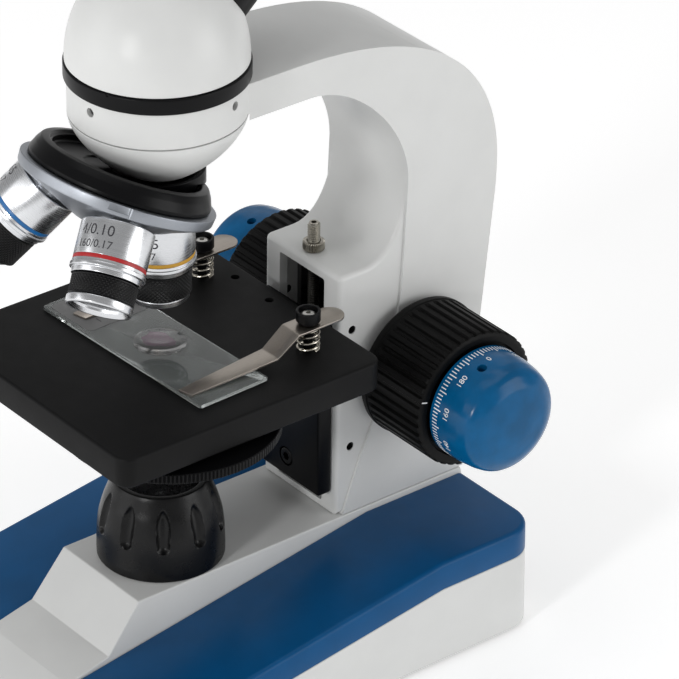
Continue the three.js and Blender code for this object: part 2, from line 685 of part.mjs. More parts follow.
function addHead(parent) {
  part(parent, 'head_dome', headDome(), WHITE);
  part(parent, 'prism', prism(), GLASS);
  part(parent, 'prism_seat', prismSeat(), BLACK);
  const slope = new THREE.Group();
  slope.position.set(0, 0, TUBE.z);
  slope.rotation.setFromRotationMatrix(tubeSlope);
  parent.add(slope);
  part(slope, 'eyepiece_tube', turned(loop([
    [12.2, TUBE.start], [TUBE.r, TUBE.start], [TUBE.r, 46], [14.4, 47], [14.4, TUBE.end],
    [12.2, TUBE.end],
  ])), BLACK);
  part(slope, 'eyepiece_barrel', turned(loop([
    [9.6, 84], [11.8, 84], [11.8, TUBE.end + GAP], [15.6, TUBE.end + GAP], [15.6, 128],
    [14, 131.5], [9.6, 131.5],
  ])), BLACK);
  part(slope, 'eye_lens', turned([[0, 126], [9.3, 126], [9.3, 128.4], [5, 129.4], [0, 129.8]], ROUND), GLASS);
  part(slope, 'eyecup', turned(loop([
    [10.4, 131.8], [16, 131.8], [17, 138.4], [16, 139], [10.4, 133.4],
  ])), RUBBER);
}

// ---------------------------------------------------------------- assembly
const microscope = new THREE.Group();
microscope.position.set(0, -CENTRE_Y, -FLOOR);
addBase(microscope);
addLamp(microscope);
addArm(microscope);
addFocusDrive(microscope);
addStage(microscope);
part(microscope, 'head_cup', headCup(), WHITE);
part(microscope, 'head_ring', headRing(), BLACK);
part(microscope, 'nosepiece_collar', noseCollar(), BLACK);
addNosepiece(microscope);
addHead(microscope);

export default microscope;
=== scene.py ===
import json
import math

import bmesh
import bpy
from mathutils import Matrix, Vector


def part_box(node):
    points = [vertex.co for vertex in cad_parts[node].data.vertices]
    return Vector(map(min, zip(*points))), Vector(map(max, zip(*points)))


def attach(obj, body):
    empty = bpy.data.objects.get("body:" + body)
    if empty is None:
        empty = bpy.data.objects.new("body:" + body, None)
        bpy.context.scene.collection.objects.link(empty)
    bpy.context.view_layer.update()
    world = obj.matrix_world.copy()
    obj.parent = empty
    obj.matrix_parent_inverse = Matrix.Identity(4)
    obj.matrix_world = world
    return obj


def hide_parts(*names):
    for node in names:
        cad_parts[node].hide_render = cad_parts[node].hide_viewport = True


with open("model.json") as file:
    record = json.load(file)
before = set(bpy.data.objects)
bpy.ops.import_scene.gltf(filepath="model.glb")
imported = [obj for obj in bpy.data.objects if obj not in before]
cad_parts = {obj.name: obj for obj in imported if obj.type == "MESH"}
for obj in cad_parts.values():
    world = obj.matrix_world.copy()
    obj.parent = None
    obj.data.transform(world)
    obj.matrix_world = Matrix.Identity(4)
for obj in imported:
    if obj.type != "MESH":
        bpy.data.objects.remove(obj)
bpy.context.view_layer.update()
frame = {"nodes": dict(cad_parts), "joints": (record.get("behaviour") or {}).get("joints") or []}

# ---------------- places, in millimetres
# Pieces are drawn in the optical frame: the optical axis is z, z = 0 is the top of the stage,
# +y goes towards the arm and +x to the right-hand knob.
MM = 0.001
lamp_low, lamp_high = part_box("lamp_housing")
AXIS_Y = (lamp_low.y + lamp_high.y) / 2
STAGE_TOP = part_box("stage_plate")[1].z
OPTICAL = Matrix.Translation((0, AXIS_Y, STAGE_TOP)) @ Matrix.Scale(MM, 4)
JOINTS = {joint["name"]: joint for joint in frame["joints"]}


def spin(degrees, axis="Z"):
    return Matrix.Rotation(math.radians(degrees), 4, axis)


def optical(point):
    """A point of the row frame, in the optical frame's millimetres."""
    return OPTICAL.inverted() @ Vector(point)


def span(node):
    """The lowest and highest corner of a CAD node, in the optical frame."""
    low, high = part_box(node)
    return optical(low), optical(high)


def turned_about_x(origin, degrees):
    return OPTICAL @ Matrix.Translation(origin) @ spin(degrees, "X")


FLOOR = optical((0, 0, 0)).z
NOSE_APEX = optical(JOINTS["nosepiece_turn"]["pos_m"]).z
NOSE_TILT = math.degrees(math.asin(JOINTS["nosepiece_turn"]["axis"][1]))
TUBE_ORIGIN = optical(JOINTS["eyepiece_turn"]["pos_m"]).z
TUBE_RISE = math.degrees(math.asin(JOINTS["eyepiece_turn"]["axis"][2]))
SHAFT = optical(JOINTS["coarse_focus"]["pos_m"])
DISC = optical(JOINTS["diaphragm_turn"]["pos_m"])
RIGHT_POST = optical(JOINTS["right_clip_swing"]["pos_m"])
LEFT_POST = optical(JOINTS["left_clip_swing"]["pos_m"])
STOP = optical(JOINTS["stop_nut_turn"]["pos_m"])
ROCKER = optical(JOINTS["power_rocker"]["pos_m"])

TURRET = turned_about_x((0, 0, NOSE_APEX), -NOSE_TILT)
TUBE = turned_about_x((0, 0, TUBE_ORIGIN), TUBE_RISE - 90)
DRIVE = OPTICAL @ Matrix.Translation(SHAFT)
ACROSS = Matrix(((0, 0, 1, 0), (1, 0, 0, 0), (0, 1, 0, 0), (0, 0, 0, 1)))  # (y, z, x) outlines
SIDES = ((-1, "left"), (1, "right"))


def spoke(place):
    """The frame of an objective: -z runs down its barrel from the apex of the nosepiece's cone."""
    return TURRET @ spin(120 * place) @ spin(NOSE_TILT, "X")


def outward(side):
    """The frame of a knob: z runs along the shaft, away from the arm."""
    return DRIVE @ spin(90 * side, "Y")


# ---------------- finishes
class Finish:
    """A procedural material. Every length is in millimetres on the object."""

    def __init__(self, name, rough, metal=0.0):
        self.material = bpy.data.materials.new(name)
        self.material.use_nodes = True
        self.tree = self.material.node_tree
        self.shader = self.tree.nodes["Principled BSDF"]
        self.set("Roughness", rough)
        self.set("Metallic", metal)
        self.place = self.node("ShaderNodeTexCoord").outputs["Object"]

    def set(self, socket, value):
        self.shader.inputs[socket].default_value = value

    def node(self, kind, **settings):
        made = self.tree.nodes.new(kind)
        for name, value in settings.items():
            setattr(made, name, value)
        return made

    def feed(self, source, socket):
        self.tree.links.new(source, socket)

    def math(self, operation, a, b=0.0):
        made = self.node("ShaderNodeMath", operation=operation)
        for i, value in enumerate((a, b)):
            if isinstance(value, (int, float)):
                made.inputs[i].default_value = value
            else:
                self.feed(value, made.inputs[i])
        return made.outputs[0]

    def noise(self, size, detail=3.0, rough=0.55, place=None):
        """Noise whose lumps are about size across."""
        made = self.node("ShaderNodeTexNoise")
        made.inputs["Scale"].default_value = 1 / (size * MM)
        made.inputs["Detail"].default_value = detail
        made.inputs["Roughness"].default_value = rough
        self.feed(place or self.place, made.inputs["Vector"])
        return made.outputs["Fac"]

    def stretched(self, axis, along, across):
        """Coordinates that vary every 'along' down the axis, and slowly the other ways."""
        tangent = Vector(axis).orthogonal().normalized()
        parts = self.node("ShaderNodeCombineXYZ")
        directions = (Vector(axis), tangent, Vector(axis).cross(tangent))
        for i, (direction, size) in enumerate(zip(directions, (along, across, across))):
            dot = self.node("ShaderNodeVectorMath", operation="DOT_PRODUCT")
            self.feed(self.place, dot.inputs[0])
            dot.inputs[1].default_value = direction / size
            self.feed(dot.outputs["Value"], parts.inputs[i])
        return parts.outputs[0]

    def between(self, fac, low, high, soft=(0.35, 0.65)):
        """A colour that goes from low to high as fac crosses the soft range."""
        ramp = self.node("ShaderNodeValToRGB")
        ramp.color_ramp.elements[0].position = soft[0]
        ramp.color_ramp.elements[1].position = soft[1]
        ramp.color_ramp.elements[0].color = (*low, 1)
        ramp.color_ramp.elements[1].color = (*high, 1)
        self.feed(fac, ramp.inputs["Fac"])
        return ramp.outputs["Color"]

    def mix(self, fac, a, b):
        made = self.node("ShaderNodeMix", data_type="RGBA")
        colours = [s for s in made.inputs if s.type == "RGBA"]
        if isinstance(fac, (int, float)):
            made.inputs[0].default_value = fac
        else:
            self.feed(fac, made.inputs[0])
        for socket, value in zip(colours, (a, b)):
            if isinstance(value, tuple):
                socket.default_value = (*value, 1)
            else:
                self.feed(value, socket)
        return next(s for s in made.outputs if s.type == "RGBA")

    def colour(self, source):
        self.feed(source, self.shader.inputs["Base Color"])

    def gloss(self, fac, low, high):
        """Roughness between low and high."""
        made = self.node("ShaderNodeMapRange")
        made.inputs["To Min"].default_value = low
        made.inputs["To Max"].default_value = high
        self.feed(fac, made.inputs["Value"])
        self.feed(made.outputs["Result"], self.shader.inputs["Roughness"])

    def relief(self, *layers):
        """Bumps, each (height source, depth, strength)."""
        normal = None
        for source, depth, strength in layers:
            bump = self.node("ShaderNodeBump")
            bump.inputs["Distance"].default_value = depth * MM
            bump.inputs["Strength"].default_value = strength
            self.feed(source, bump.inputs["Height"])
            if normal:
                self.feed(normal, bump.inputs["Normal"])
            normal = bump.outputs["Normal"]
        self.feed(normal, self.shader.inputs["Normal"])


def tint(colour, gain):
    return tuple(min(1.0, c * gain) for c in colour)


def painted(name, colour, rough, grain, depth, shade=0.93, fleck=0.0, shine=0.4):
    """Sprayed paint: patchy by a few per cent, with an orange-peel relief and, with fleck, pale specks."""
    made = Finish(name, rough)
    made.set("Specular IOR Level", shine)
    patches = made.noise(14, 4)
    base = made.between(patches, tint(colour, shade), colour)
    grains = made.noise(grain, 2)
    if fleck:
        specks = made.between(made.noise(grain * 0.7, 1), (0, 0, 0), (1, 1, 1), (0.58, 0.75))
        base = made.mix(made.math("MULTIPLY", specks, fleck), base, tint(colour, 2.6))
    made.colour(base)
    made.gloss(made.noise(5, 5), rough - 0.07, rough + 0.07)
    made.relief((made.noise(6, 3), depth * 1.5, 0.25), (grains, depth, 0.5))
    return made


def plastic(name, colour, rough, grain, depth, shine=0.3):
    """Moulded plastic: an even colour with cloudy gloss and a fine spark texture."""
    made = Finish(name, rough)
    made.set("Specular IOR Level", shine)
    made.colour(made.between(made.noise(9, 5), tint(colour, 0.85), tint(colour, 1.12)))
    made.gloss(made.noise(3, 5), rough - 0.06, rough + 0.08)
    made.relief((made.noise(grain, 3, 0.7), depth, 0.6))
    return made


def turned_metal(name, colour, rough, axis, pitch=0.28, depth=0.004, dark=0.82):
    """Metal cut in a lathe: fine rings square to its axis."""
    made = Finish(name, rough, 1.0)
    rings = made.noise(1 / MM, 2, 0.6, made.stretched(axis, pitch * MM, 40 * MM))
    smears = made.noise(4, 4)
    base = made.between(rings, tint(colour, dark), colour, (0.3, 0.7))
    made.colour(made.mix(made.math("MULTIPLY", smears, 0.35), base, tint(colour, 0.86)))
    made.gloss(rings, rough - 0.05, rough + 0.1)
    made.relief((rings, depth, 0.5))
    made.set("Anisotropic", 0.35)
    return made


def brushed(name, colour, rough, axis=(0, 1, 0)):
    """Metal with straight scratches along the axis."""
    made = Finish(name, rough, 1.0)
    lines = made.noise(1 / MM, 3, 0.6, made.stretched(axis, 9 * MM, 0.12 * MM))
    base = made.between(lines, tint(colour, 0.8), colour)
    made.colour(made.mix(made.math("MULTIPLY", made.noise(3, 4), 0.3), base, tint(colour, 0.82)))
    made.gloss(lines, rough - 0.05, rough + 0.1)
    made.relief((lines, 0.004, 0.45))
    return made


def cast_metal(name, colour, rough):
    """Satin blasted casting: fine pits and cloudy colour."""
    made = Finish(name, rough, 1.0)
    pits = made.noise(0.35, 4, 0.65)
    made.colour(made.mix(made.noise(5, 4), tint(colour, 0.82),
                         made.between(pits, tint(colour, 0.88), colour)))
    made.gloss(made.noise(1.5, 4), rough - 0.06, rough + 0.08)
    made.relief((pits, 0.02, 0.5))
    return made


def clear_glass(name, colour, rough=0.03):
    """Clear glass with faint smears."""
    made = Finish(name, rough)
    made.colour(made.between(made.noise(8, 3), tint(colour, 0.97), colour))
    made.gloss(made.noise(6, 5), rough, rough + 0.04)
    made.set("Transmission Weight", 1.0)
    made.set("IOR", 1.5)
    return made


UP = (0, 0, 1)
RIGHT = (1, 0, 0)

CHROME = (0.72, 0.73, 0.75)
STEEL = (0.62, 0.61, 0.58)
WHITE = painted("white_powder_coat", (0.68, 0.685, 0.675), 0.36, 0.7, 0.012, shade=0.97)
BLUE = painted("blue_paint", (0.001, 0.075, 0.215), 0.36, 0.9, 0.012, shade=0.88, shine=0.16)
CAP_BLUE = plastic("blue_knob_plastic", (0.001, 0.088, 0.225), 0.2, 1.6, 0.003, shine=0.2)
STAGE_BLACK = painted("black_stage_paint", (0.0058, 0.0058, 0.006), 0.5, 0.28, 0.02, fleck=0.35, shine=0.1)
SATIN_BLACK = painted("satin_black_paint", (0.0035, 0.0035, 0.004), 0.33, 0.5, 0.008, shine=0.13)
SHEET_BLACK = painted("black_sheet_paint", (0.006, 0.006, 0.006), 0.5, 0.5, 0.015, shine=0.25)
LAMP_BLACK = plastic("grained_black_plastic", (0.0045, 0.0045, 0.0048), 0.28, 0.34, 0.05, shine=0.22)
KNOB_BLACK = plastic("ribbed_black_plastic", (0.0035, 0.0035, 0.0035), 0.42, 0.3, 0.015, shine=0.1)
CASE_BLACK = plastic("fine_black_plastic", (0.018, 0.018, 0.019), 0.5, 0.4, 0.02)
RUBBER = plastic("soft_rubber", (0.016, 0.016, 0.016), 0.75, 0.25, 0.03)
GRIP_BLACK = plastic("black_knurl", (0.006, 0.006, 0.0065), 0.36, 0.3, 0.01, shine=0.3)
TURRET_METAL = cast_metal("cast_nosepiece_metal", (0.37, 0.39, 0.425), 0.42)
CLIP_STEEL = brushed("clip_spring_steel", (0.45, 0.405, 0.36), 0.28)
BRIGHT_STEEL = brushed("bright_steel", STEEL, 0.28, UP)
DARK_STEEL = brushed("dark_steel", (0.22, 0.22, 0.22), 0.35, UP)
# Near-black steel for the stop screw's lower part: painted shade where it runs down the pillar's slot.
SHANK_SHADE_STEEL = brushed("shank_painted_shade", (0.07, 0.068, 0.062), 0.35, UP)
NICKEL = turned_metal("nickel_plate", (0.66, 0.62, 0.54), 0.22, UP, 0.2)
DULL_NICKEL = turned_metal("dull_nickel_plate", (0.46, 0.435, 0.38), 0.3, UP, 0.2)
BRASS = turned_metal("cut_brass", (0.68, 0.5, 0.2), 0.3, RIGHT, 0.3)
SHAFT_STEEL = turned_metal("turned_shaft", STEEL, 0.25, RIGHT, 0.3)
GLASS = clear_glass("slide_glass", (0.80, 0.845, 0.83))
GLASS.set("Transmission Weight", 0.92)
COVER_GLASS = clear_glass("cover_slip_glass", (0.96, 0.96, 0.96), 0.02)
BLACKED_STEEL = brushed("blacked_steel", (0.02, 0.02, 0.02), 0.4, UP)
LENS = clear_glass("lens_glass", (0.97, 0.98, 1.0), 0.01)
SMOKED_GLASS = clear_glass("smoked_glass", (0.03, 0.03, 0.032), 0.25)
SMOKED_GLASS.set("Specular IOR Level", 0.12)
LAMP_WHITE = plastic("lamp_white", (0.85, 0.83, 0.75), 0.4, 0.5, 0.01)
INK_WHITE = plastic("white_print", (0.86, 0.87, 0.87), 0.5, 0.2, 0.01)
INK_BLACK = plastic("black_print", (0.035, 0.035, 0.04), 0.5, 0.2, 0.01)
LABEL = plastic("paper_label", (0.17, 0.17, 0.17), 0.7, 0.15, 0.02)
# Flat black for the screws and tube linings inside the pillar's holes: painted shadow.
SHADOW = plastic("painted_hole_shadow", (0.004, 0.004, 0.004), 0.8, 0.5, 0.01)
BANDS = {
    "4x": painted("red_band", (0.42, 0.018, 0.02), 0.35, 0.5, 0.01),
    "10x": painted("yellow_band", (0.62, 0.33, 0.03), 0.35, 0.5, 0.01),
    "40x": painted("blue_band", (0.01, 0.13, 0.36), 0.35, 0.5, 0.01),
}


def stained(name):
    """A thin slice of stained tissue: purple, darker in streaks."""
    made = Finish(name, 0.35)
    cells = made.noise(0.7, 6, 0.7)
    made.colour(made.between(cells, (0.05, 0.002, 0.033), (0.22, 0.03, 0.15), (0.3, 0.68)))
    made.relief((cells, 0.03, 0.5))
    return made


TISSUE = stained("stained_tissue")


# ---------------- outlines
def rounded(points, closed=True, steps=5):
    """The outline with each (a, b, r) corner rounded to radius r. Plain (a, b) corners stay sharp."""
    made = []
    for i, point in enumerate(points):
        here = Vector(point[:2])
        radius = point[2] if len(point) > 2 else 0
        if not radius or (not closed and i in (0, len(points) - 1)):
            made.append(tuple(here))
            continue
        back = Vector(points[i - 1][:2]) - here
        ahead = Vector(points[(i + 1) % len(points)][:2]) - here
        half = back.angle(ahead) / 2
        reach = min(radius / math.tan(half), 0.49 * back.length, 0.49 * ahead.length)
        back.normalize()
        ahead.normalize()
        centre = here + (back + ahead).normalized() * reach / math.cos(half)
        start, end = here + back * reach - centre, here + ahead * reach - centre
        first = math.atan2(start.y, start.x)
        swing = (math.atan2(end.y, end.x) - first + math.pi) % (2 * math.pi) - math.pi
        for step in range(steps + 1):
            angle = first + swing * step / steps
            made.append(tuple(centre + start.length * Vector((math.cos(angle), math.sin(angle)))))
    return made


def curve(*controls, steps=14):
    """Points along a Bezier curve, its first point left out."""
    made = []
    for i in range(1, steps + 1):
        level = [Vector(c) for c in controls]
        while len(level) > 1:
            level = [a.lerp(b, i / steps) for a, b in zip(level, level[1:])]
        made.append(tuple(level[0]))
    return made


def circle(radius, count, centre=(0, 0), start=0.0):
    angles = [start + 2 * math.pi * i / count for i in range(count)]
    return [(centre[0] + radius * math.cos(a), centre[1] + radius * math.sin(a)) for a in angles]


def rectangle(x0, x1, y0, y1, radius=0.0):
    corners = [(x0, y0, radius), (x1, y0, radius), (x1, y1, radius), (x0, y1, radius)]
    return rounded(corners, steps=8)


# ---------------- solids, as bmeshes
def edge_angle(edge):
    return math.degrees(edge.calc_face_angle(0))


def bevel(bm, width, steps=4, pick=None):
    """Rounds the edges that pick chooses, or every edge sharper than 30 degrees."""
    bm.normal_update()
    edges = [e for e in bm.edges if len(e.link_faces) == 2 and edge_angle(e) > 30]
    if pick:
        edges = [e for e in edges if pick(e)]
    bmesh.ops.bevel(bm, geom=edges, offset=width, offset_type="OFFSET", segments=steps,
                    profile=0.5, affect="EDGES", clamp_overlap=True)
    return bm


def lathe(profile, sides=96, shape=None):
    """A round about z. The (r, z) profile starts and ends on the axis, or closes on itself.
    shape(radius, angle, z) may change the radius."""
    bm = bmesh.new()
    turns = [2 * math.pi * i / sides for i in range(sides)]
    rings = []
    for r, z in profile:
        if r < 1e-6:
            rings.append([bm.verts.new((0, 0, z))])
            continue
        radii = [shape(r, a, z) if shape else r for a in turns]
        rings.append([bm.verts.new((q * math.cos(a), q * math.sin(a), z))
                      for q, a in zip(radii, turns)])
    pairs = list(zip(rings, rings[1:]))
    if len(rings[0]) > 1:
        pairs.append((rings[-1], rings[0]))
    for low, high in pairs:
        for i in range(sides):
            j = (i + 1) % sides
            corners = [low[i % len(low)], low[j % len(low)], high[j % len(high)], high[i % len(high)]]
            face = list(dict.fromkeys(corners))
            if len(face) > 2:
                bm.faces.new(face)
    return bm


def spun(profile, sides):
    """A round about z, from a profile that starts and ends on the axis and has rounded corners."""
    return lathe(rounded(profile, closed=False), sides)


def hoop(profile, sides):
    """A ring about z, from a closed profile with rounded corners."""
    return lathe(rounded(profile), sides)


def drill(r, low, high, sides=32):
    """A plain round bar about z."""
    return lathe([(0, low), (r, low), (r, high), (0, high)], sides)


def prism(outline, low, high, matrix=None, edge=0.0, steps=4):
    """An outline pushed from low to high, with rounded ends of radius edge."""
    bm = bmesh.new()
    floor = [bm.verts.new((a, b, low)) for a, b in outline]
    roof = [bm.verts.new((a, b, high)) for a, b in outline]
    bm.faces.new(floor[::-1])
    bm.faces.new(roof)
    for i in range(len(outline)):
        j = (i + 1) % len(outline)
        bm.faces.new((floor[i], floor[j], roof[j], roof[i]))
    bmesh.ops.recalc_face_normals(bm, faces=bm.faces)
    if edge:
        bevel(bm, edge, steps, lambda e: abs(e.verts[0].co.z - e.verts[1].co.z) < 1e-6)
    if matrix:
        bm.transform(matrix)
    return bm


def block(low, high, edge=0.0, steps=3):
    """A box with every edge rounded."""
    outline = [(low[0], low[1]), (high[0], low[1]), (high[0], high[1]), (low[0], high[1])]
    bm = prism(outline, low[2], high[2])
    if edge:
        bevel(bm, edge, steps)
    return bm


def sweep(points, radius, sides=10):
    """A round wire through the points, with closed ends."""
    bm = bmesh.new()
    points = [Vector(p) for p in points]
    rings = []
    side = (points[1] - points[0]).orthogonal().normalized()
    for i, point in enumerate(points):
        ahead = (points[min(i + 1, len(points) - 1)] - points[max(i - 1, 0)]).normalized()
        side = (side - ahead * side.dot(ahead)).normalized()
        up = ahead.cross(side)
        rings.append([bm.verts.new(point + radius * (side * math.cos(a) + up * math.sin(a)))
                      for a in (2 * math.pi * k / sides for k in range(sides))])
    for low, high in zip(rings, rings[1:]):
        for i in range(sides):
            j = (i + 1) % sides
            bm.faces.new((low[i], low[j], high[j], high[i]))
    bm.faces.new(rings[0][::-1])
    bm.faces.new(rings[-1])
    return bm


def moved(bm, x=0.0, y=0.0, z=0.0):
    bm.transform(Matrix.Translation((x, y, z)))
    return bm


def turned(bm, degrees, axis):
    bm.transform(spin(degrees, axis))
    return bm


def crosswise(bm, y=0.0, z=0.0):
    """Lays a round along x, with its axis through (y, z)."""
    return moved(turned(bm, 90, "Y"), 0, y, z)


def joined(*parts):
    """Several closed solids in one mesh."""
    made = bmesh.new()
    for bm in parts:
        held = bpy.data.meshes.new("held")
        bm.to_mesh(held)
        made.from_mesh(held)
        bpy.data.meshes.remove(held)
        bm.free()
    return made


def added(name, data):
    """A new object in the scene."""
    made = bpy.data.objects.new(name, data)
    bpy.context.scene.collection.objects.link(made)
    return made


def as_object(name, bm):
    mesh = bpy.data.meshes.new(name)
    bm.to_mesh(mesh)
    bm.free()
    return added(name, mesh)


def scratch(bm):
    bmesh.ops.recalc_face_normals(bm, faces=bm.faces)
    return as_object("scratch", bm)


def combined(base, others, operation):
    """The base with the others joined to it (UNION) or cut from it (DIFFERENCE)."""
    target = scratch(base)
    tools = [scratch(bm) for bm in others]
    for tool in tools:
        cut = target.modifiers.new("cut", "BOOLEAN")
        cut.operation = operation
        cut.solver = "EXACT"
        cut.object = tool
    view = bpy.context.evaluated_depsgraph_get()
    made = bmesh.new()
    made.from_mesh(target.evaluated_get(view).to_mesh())
    for thing in [target, *tools]:
        mesh = thing.data
        bpy.data.objects.remove(thing)
        bpy.data.meshes.remove(mesh)
    bmesh.ops.remove_doubles(made, verts=made.verts, dist=1e-4)
    bmesh.ops.dissolve_degenerate(made, edges=made.edges, dist=1e-4)
    return made


def cut(base, *others):
    return combined(base, others, "DIFFERENCE")


def fused(base, *others):
    return combined(base, others, "UNION")


# ---------------- pieces
def piece(name, bm, body, finish, place=OPTICAL, stands_for=(), sharp=32):
    """Turns a solid into a piece of the model that rides on a body."""
    bmesh.ops.recalc_face_normals(bm, faces=bm.faces)
    bm.transform(place)
    bm.normal_update()
    for face in bm.faces:
        face.smooth = True
    for edge in bm.edges:
        edge.smooth = len(edge.link_faces) == 2 and edge_angle(edge) < sharp
    made = as_object(name, bm)
    made.data.materials.append(finish.material)
    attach(made, body)
    if stands_for:
        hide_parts(*stands_for)
    return made


def refinish(node, finish, edge=0.0):
    """A CAD node that stays, with a finish and lightly broken edges."""
    made = frame["nodes"][node]
    made.data.materials.clear()
    made.data.materials.append(finish.material)
    if edge:
        soft = made.modifiers.new("soft_edges", "BEVEL")
        soft.width = edge * MM
        soft.segments = 3
        soft.limit_method = "ANGLE"
        soft.angle_limit = math.radians(40)


def lettering(text, size, depth=0.06):
    """Flat raised text, centred on the origin."""
    font = bpy.data.curves.new("lettering", "FONT")
    font.body = text
    font.size = size
    font.extrude = depth / 2
    font.align_x = "CENTER"
    font.align_y = "CENTER"
    font.resolution_u = 3
    held = added("lettering", font)
    view = bpy.context.evaluated_depsgraph_get()
    bm = bmesh.new()
    bm.from_mesh(held.evaluated_get(view).to_mesh())
    bpy.data.objects.remove(held)
    bpy.data.curves.remove(font)
    bmesh.ops.remove_doubles(bm, verts=bm.verts, dist=1e-5)
    return bm


def wrapped(bm, radius, angle, along, flip=1, slope=0.0):
    """Wraps a flat drawing round z: its x goes round, its y goes along z."""
    for vert in bm.verts:
        around = angle + flip * vert.co.x / radius
        along_z = along + flip * vert.co.y
        out = radius + vert.co.z + slope * (along_z - along)
        vert.co = Vector((out * math.cos(around), out * math.sin(around), along_z))
    return bm


# ---------------- base
FOOT_CENTRES = [(-44, -60), (44, -60), (-44, 90), (44, 90)]
PLATE_SCREWS = [(-52, -30), (52, -30), (-52, 60), (52, 60)]
LIP = 0.9             # how far the switch and the inlet stand out of the rear wall
BASE_HALF = span("base_shell")[1].x
BASE_FRONT, BASE_REAR = (corner.y for corner in span("base_shell"))
SKIRT_BOTTOM, SPINE_TOP = (corner.z for corner in span("base_shell"))
CORNER = 11
KNEE_Y = 65.7
DRAFT = 0.0005        # share by which the walls lean out, for each millimetre down
SPINE_HALF = 19.5
SPINE_LEAN = 0.041


def sloped(rear, front):
    """A height that is level behind the knee and falls towards the front."""
    def height(y):
        return rear + (front - rear) * max(0.0, (KNEE_Y - y) / (KNEE_Y - BASE_FRONT))
    return height


wing_top = sloped(span("right_wing")[1].z, -95.6)
split_line = sloped(-84.1, -104.2)


def spine_half(z):
    return SPINE_HALF + (SPINE_TOP - z) * SPINE_LEAN


def plan_solid(fields, top, bottom):
    """A solid over plan outlines that share whole edges. Its top and bottom are heights over y."""
    bm = bmesh.new()
    corners = {}
    edges = {}
    for field in fields:
        for point in field:
            key = (round(point[0], 3), round(point[1], 3))
            if key not in corners:
                x, y = key
                corners[key] = (bm.verts.new((x, y, top(y))), bm.verts.new((x, y, bottom(y))))
        keys = [(round(a, 3), round(b, 3)) for a, b in field]
        bm.faces.new([corners[k][0] for k in keys])
        bm.faces.new([corners[k][1] for k in keys][::-1])
        for a, b in zip(keys, keys[1:] + keys[:1]):
            edges[frozenset((a, b))] = None if frozenset((a, b)) in edges else (a, b)
    for pair in filter(None, edges.values()):
        (a_top, a_low), (b_top, b_low) = corners[pair[0]], corners[pair[1]]
        bm.faces.new((a_top, a_low, b_low, b_top))
    bmesh.ops.recalc_face_normals(bm, faces=bm.faces)
    return bm


def leaned(bm, reference):
    """Leans the walls out as they go down."""
    for vert in bm.verts:
        vert.co.x *= 1 + DRAFT * (reference - vert.co.z)
    return bm


def plan_fields(inset, inner=None, side=1):
    """The base's plan, in front of the knee and behind it; with inner, only one side of it."""
    half, front, rear = BASE_HALF - 0.5 - inset, BASE_FRONT + inset, BASE_REAR - inset
    r = CORNER - inset
    low = -half if inner is None else inner
    front_left = (low, front, r) if inner is None else (low, front)
    rear_left = (low, rear, r) if inner is None else (low, rear)
    before = rounded([front_left, (half, front, r), (half, KNEE_Y), (low, KNEE_Y)], steps=10)
    behind = rounded([(low, KNEE_Y), (half, KNEE_Y), (half, rear, r), rear_left], steps=10)
    return [[(side * x, y) for x, y in field] for field in (before, behind)]


def wing(side):
    seam = 0.12
    bm = plan_solid(plan_fields(0, SPINE_HALF, side), wing_top, lambda y: split_line(y) + seam)
    for vert in bm.verts:
        if abs(abs(vert.co.x) - SPINE_HALF) < 0.01:
            vert.co.x = side * (spine_half(vert.co.z) + 0.15)
    leaned(bm, wing_top(BASE_REAR))

    def on_rim(edge):
        middle = (edge.verts[0].co + edge.verts[1].co) / 2
        near_top = all(abs(v.co.z - wing_top(v.co.y)) < 0.05 for v in edge.verts)
        return near_top and abs(middle.x) > SPINE_HALF + 3
    bevel(bm, 1.7, 6, on_rim)
    bevel(bm, 0.3, 2)
    return bm


def spine_solid(shrink=0.0):
    rear = BASE_REAR - 0.15 - shrink
    front = BASE_FRONT + 0.05 + shrink
    top = SPINE_TOP - shrink
    outline = rounded([
        (front, SKIRT_BOTTOM + 0.02 - 3 * shrink), (rear, SKIRT_BOTTOM + 0.02 - 3 * shrink),
        (rear, top, 1.2), (-23 + shrink * 0.6, top, 0.9), (-35 + shrink * 0.6, -87.8 - shrink, 0.8),
        (-50.5 + shrink * 0.4, -91.6 - shrink, 1.5), (front, -104.2 - shrink * 0.4, 0.8),
    ])
    half = SPINE_HALF - shrink
    bm = prism(outline, -half, half, ACROSS)
    for vert in bm.verts:
        vert.co.x *= (spine_half(vert.co.z) - shrink) / half
    if not shrink:
        bevel(bm, 0.9, 4, lambda e: e.verts[0].co.z > SKIRT_BOTTOM + 1 and e.verts[0].co.x
              * e.verts[1].co.x > 0 and edge_angle(e) > 50)
    return bm


def base_shell():
    wall = 3
    skirt = plan_solid(plan_fields(0), split_line, lambda y: SKIRT_BOTTOM)
    leaned(skirt, wing_top(BASE_REAR))
    bevel(skirt, 0.4, 3)
    hollow = plan_solid(plan_fields(wall), lambda y: split_line(y) - wall,
                        lambda y: SKIRT_BOTTOM - wall)
    low, high = span("dc_inlet")
    inlet = block((low.x - 0.25, BASE_REAR - 14, low.z - 0.25),
                  (high.x + 0.25, BASE_REAR + 5, high.z + 0.25))
    return cut(fused(skirt, spine_solid()), hollow, spine_solid(wall), inlet, rear_window(10, 12, 6))


def rear_window(half_width, depth, half_height):
    """A block through the rear wall, round the switch."""
    return block((ROCKER.x - half_width, BASE_REAR - depth, ROCKER.z - half_height),
                 (ROCKER.x + half_width, BASE_REAR + 5, ROCKER.z + half_height))


def foot_pad(x, y):
    low, high = span("foot_front_left")
    r, top = (high.x - low.x) / 2, high.z
    pad = spun([(0, FLOOR + 0.6), (3.2, FLOOR + 0.6, 0.4), (4, FLOOR, 0.3), (r, FLOOR, 0.7),
                (r, top, 0.3), (0, top)], 48)
    return moved(pad, x, y)


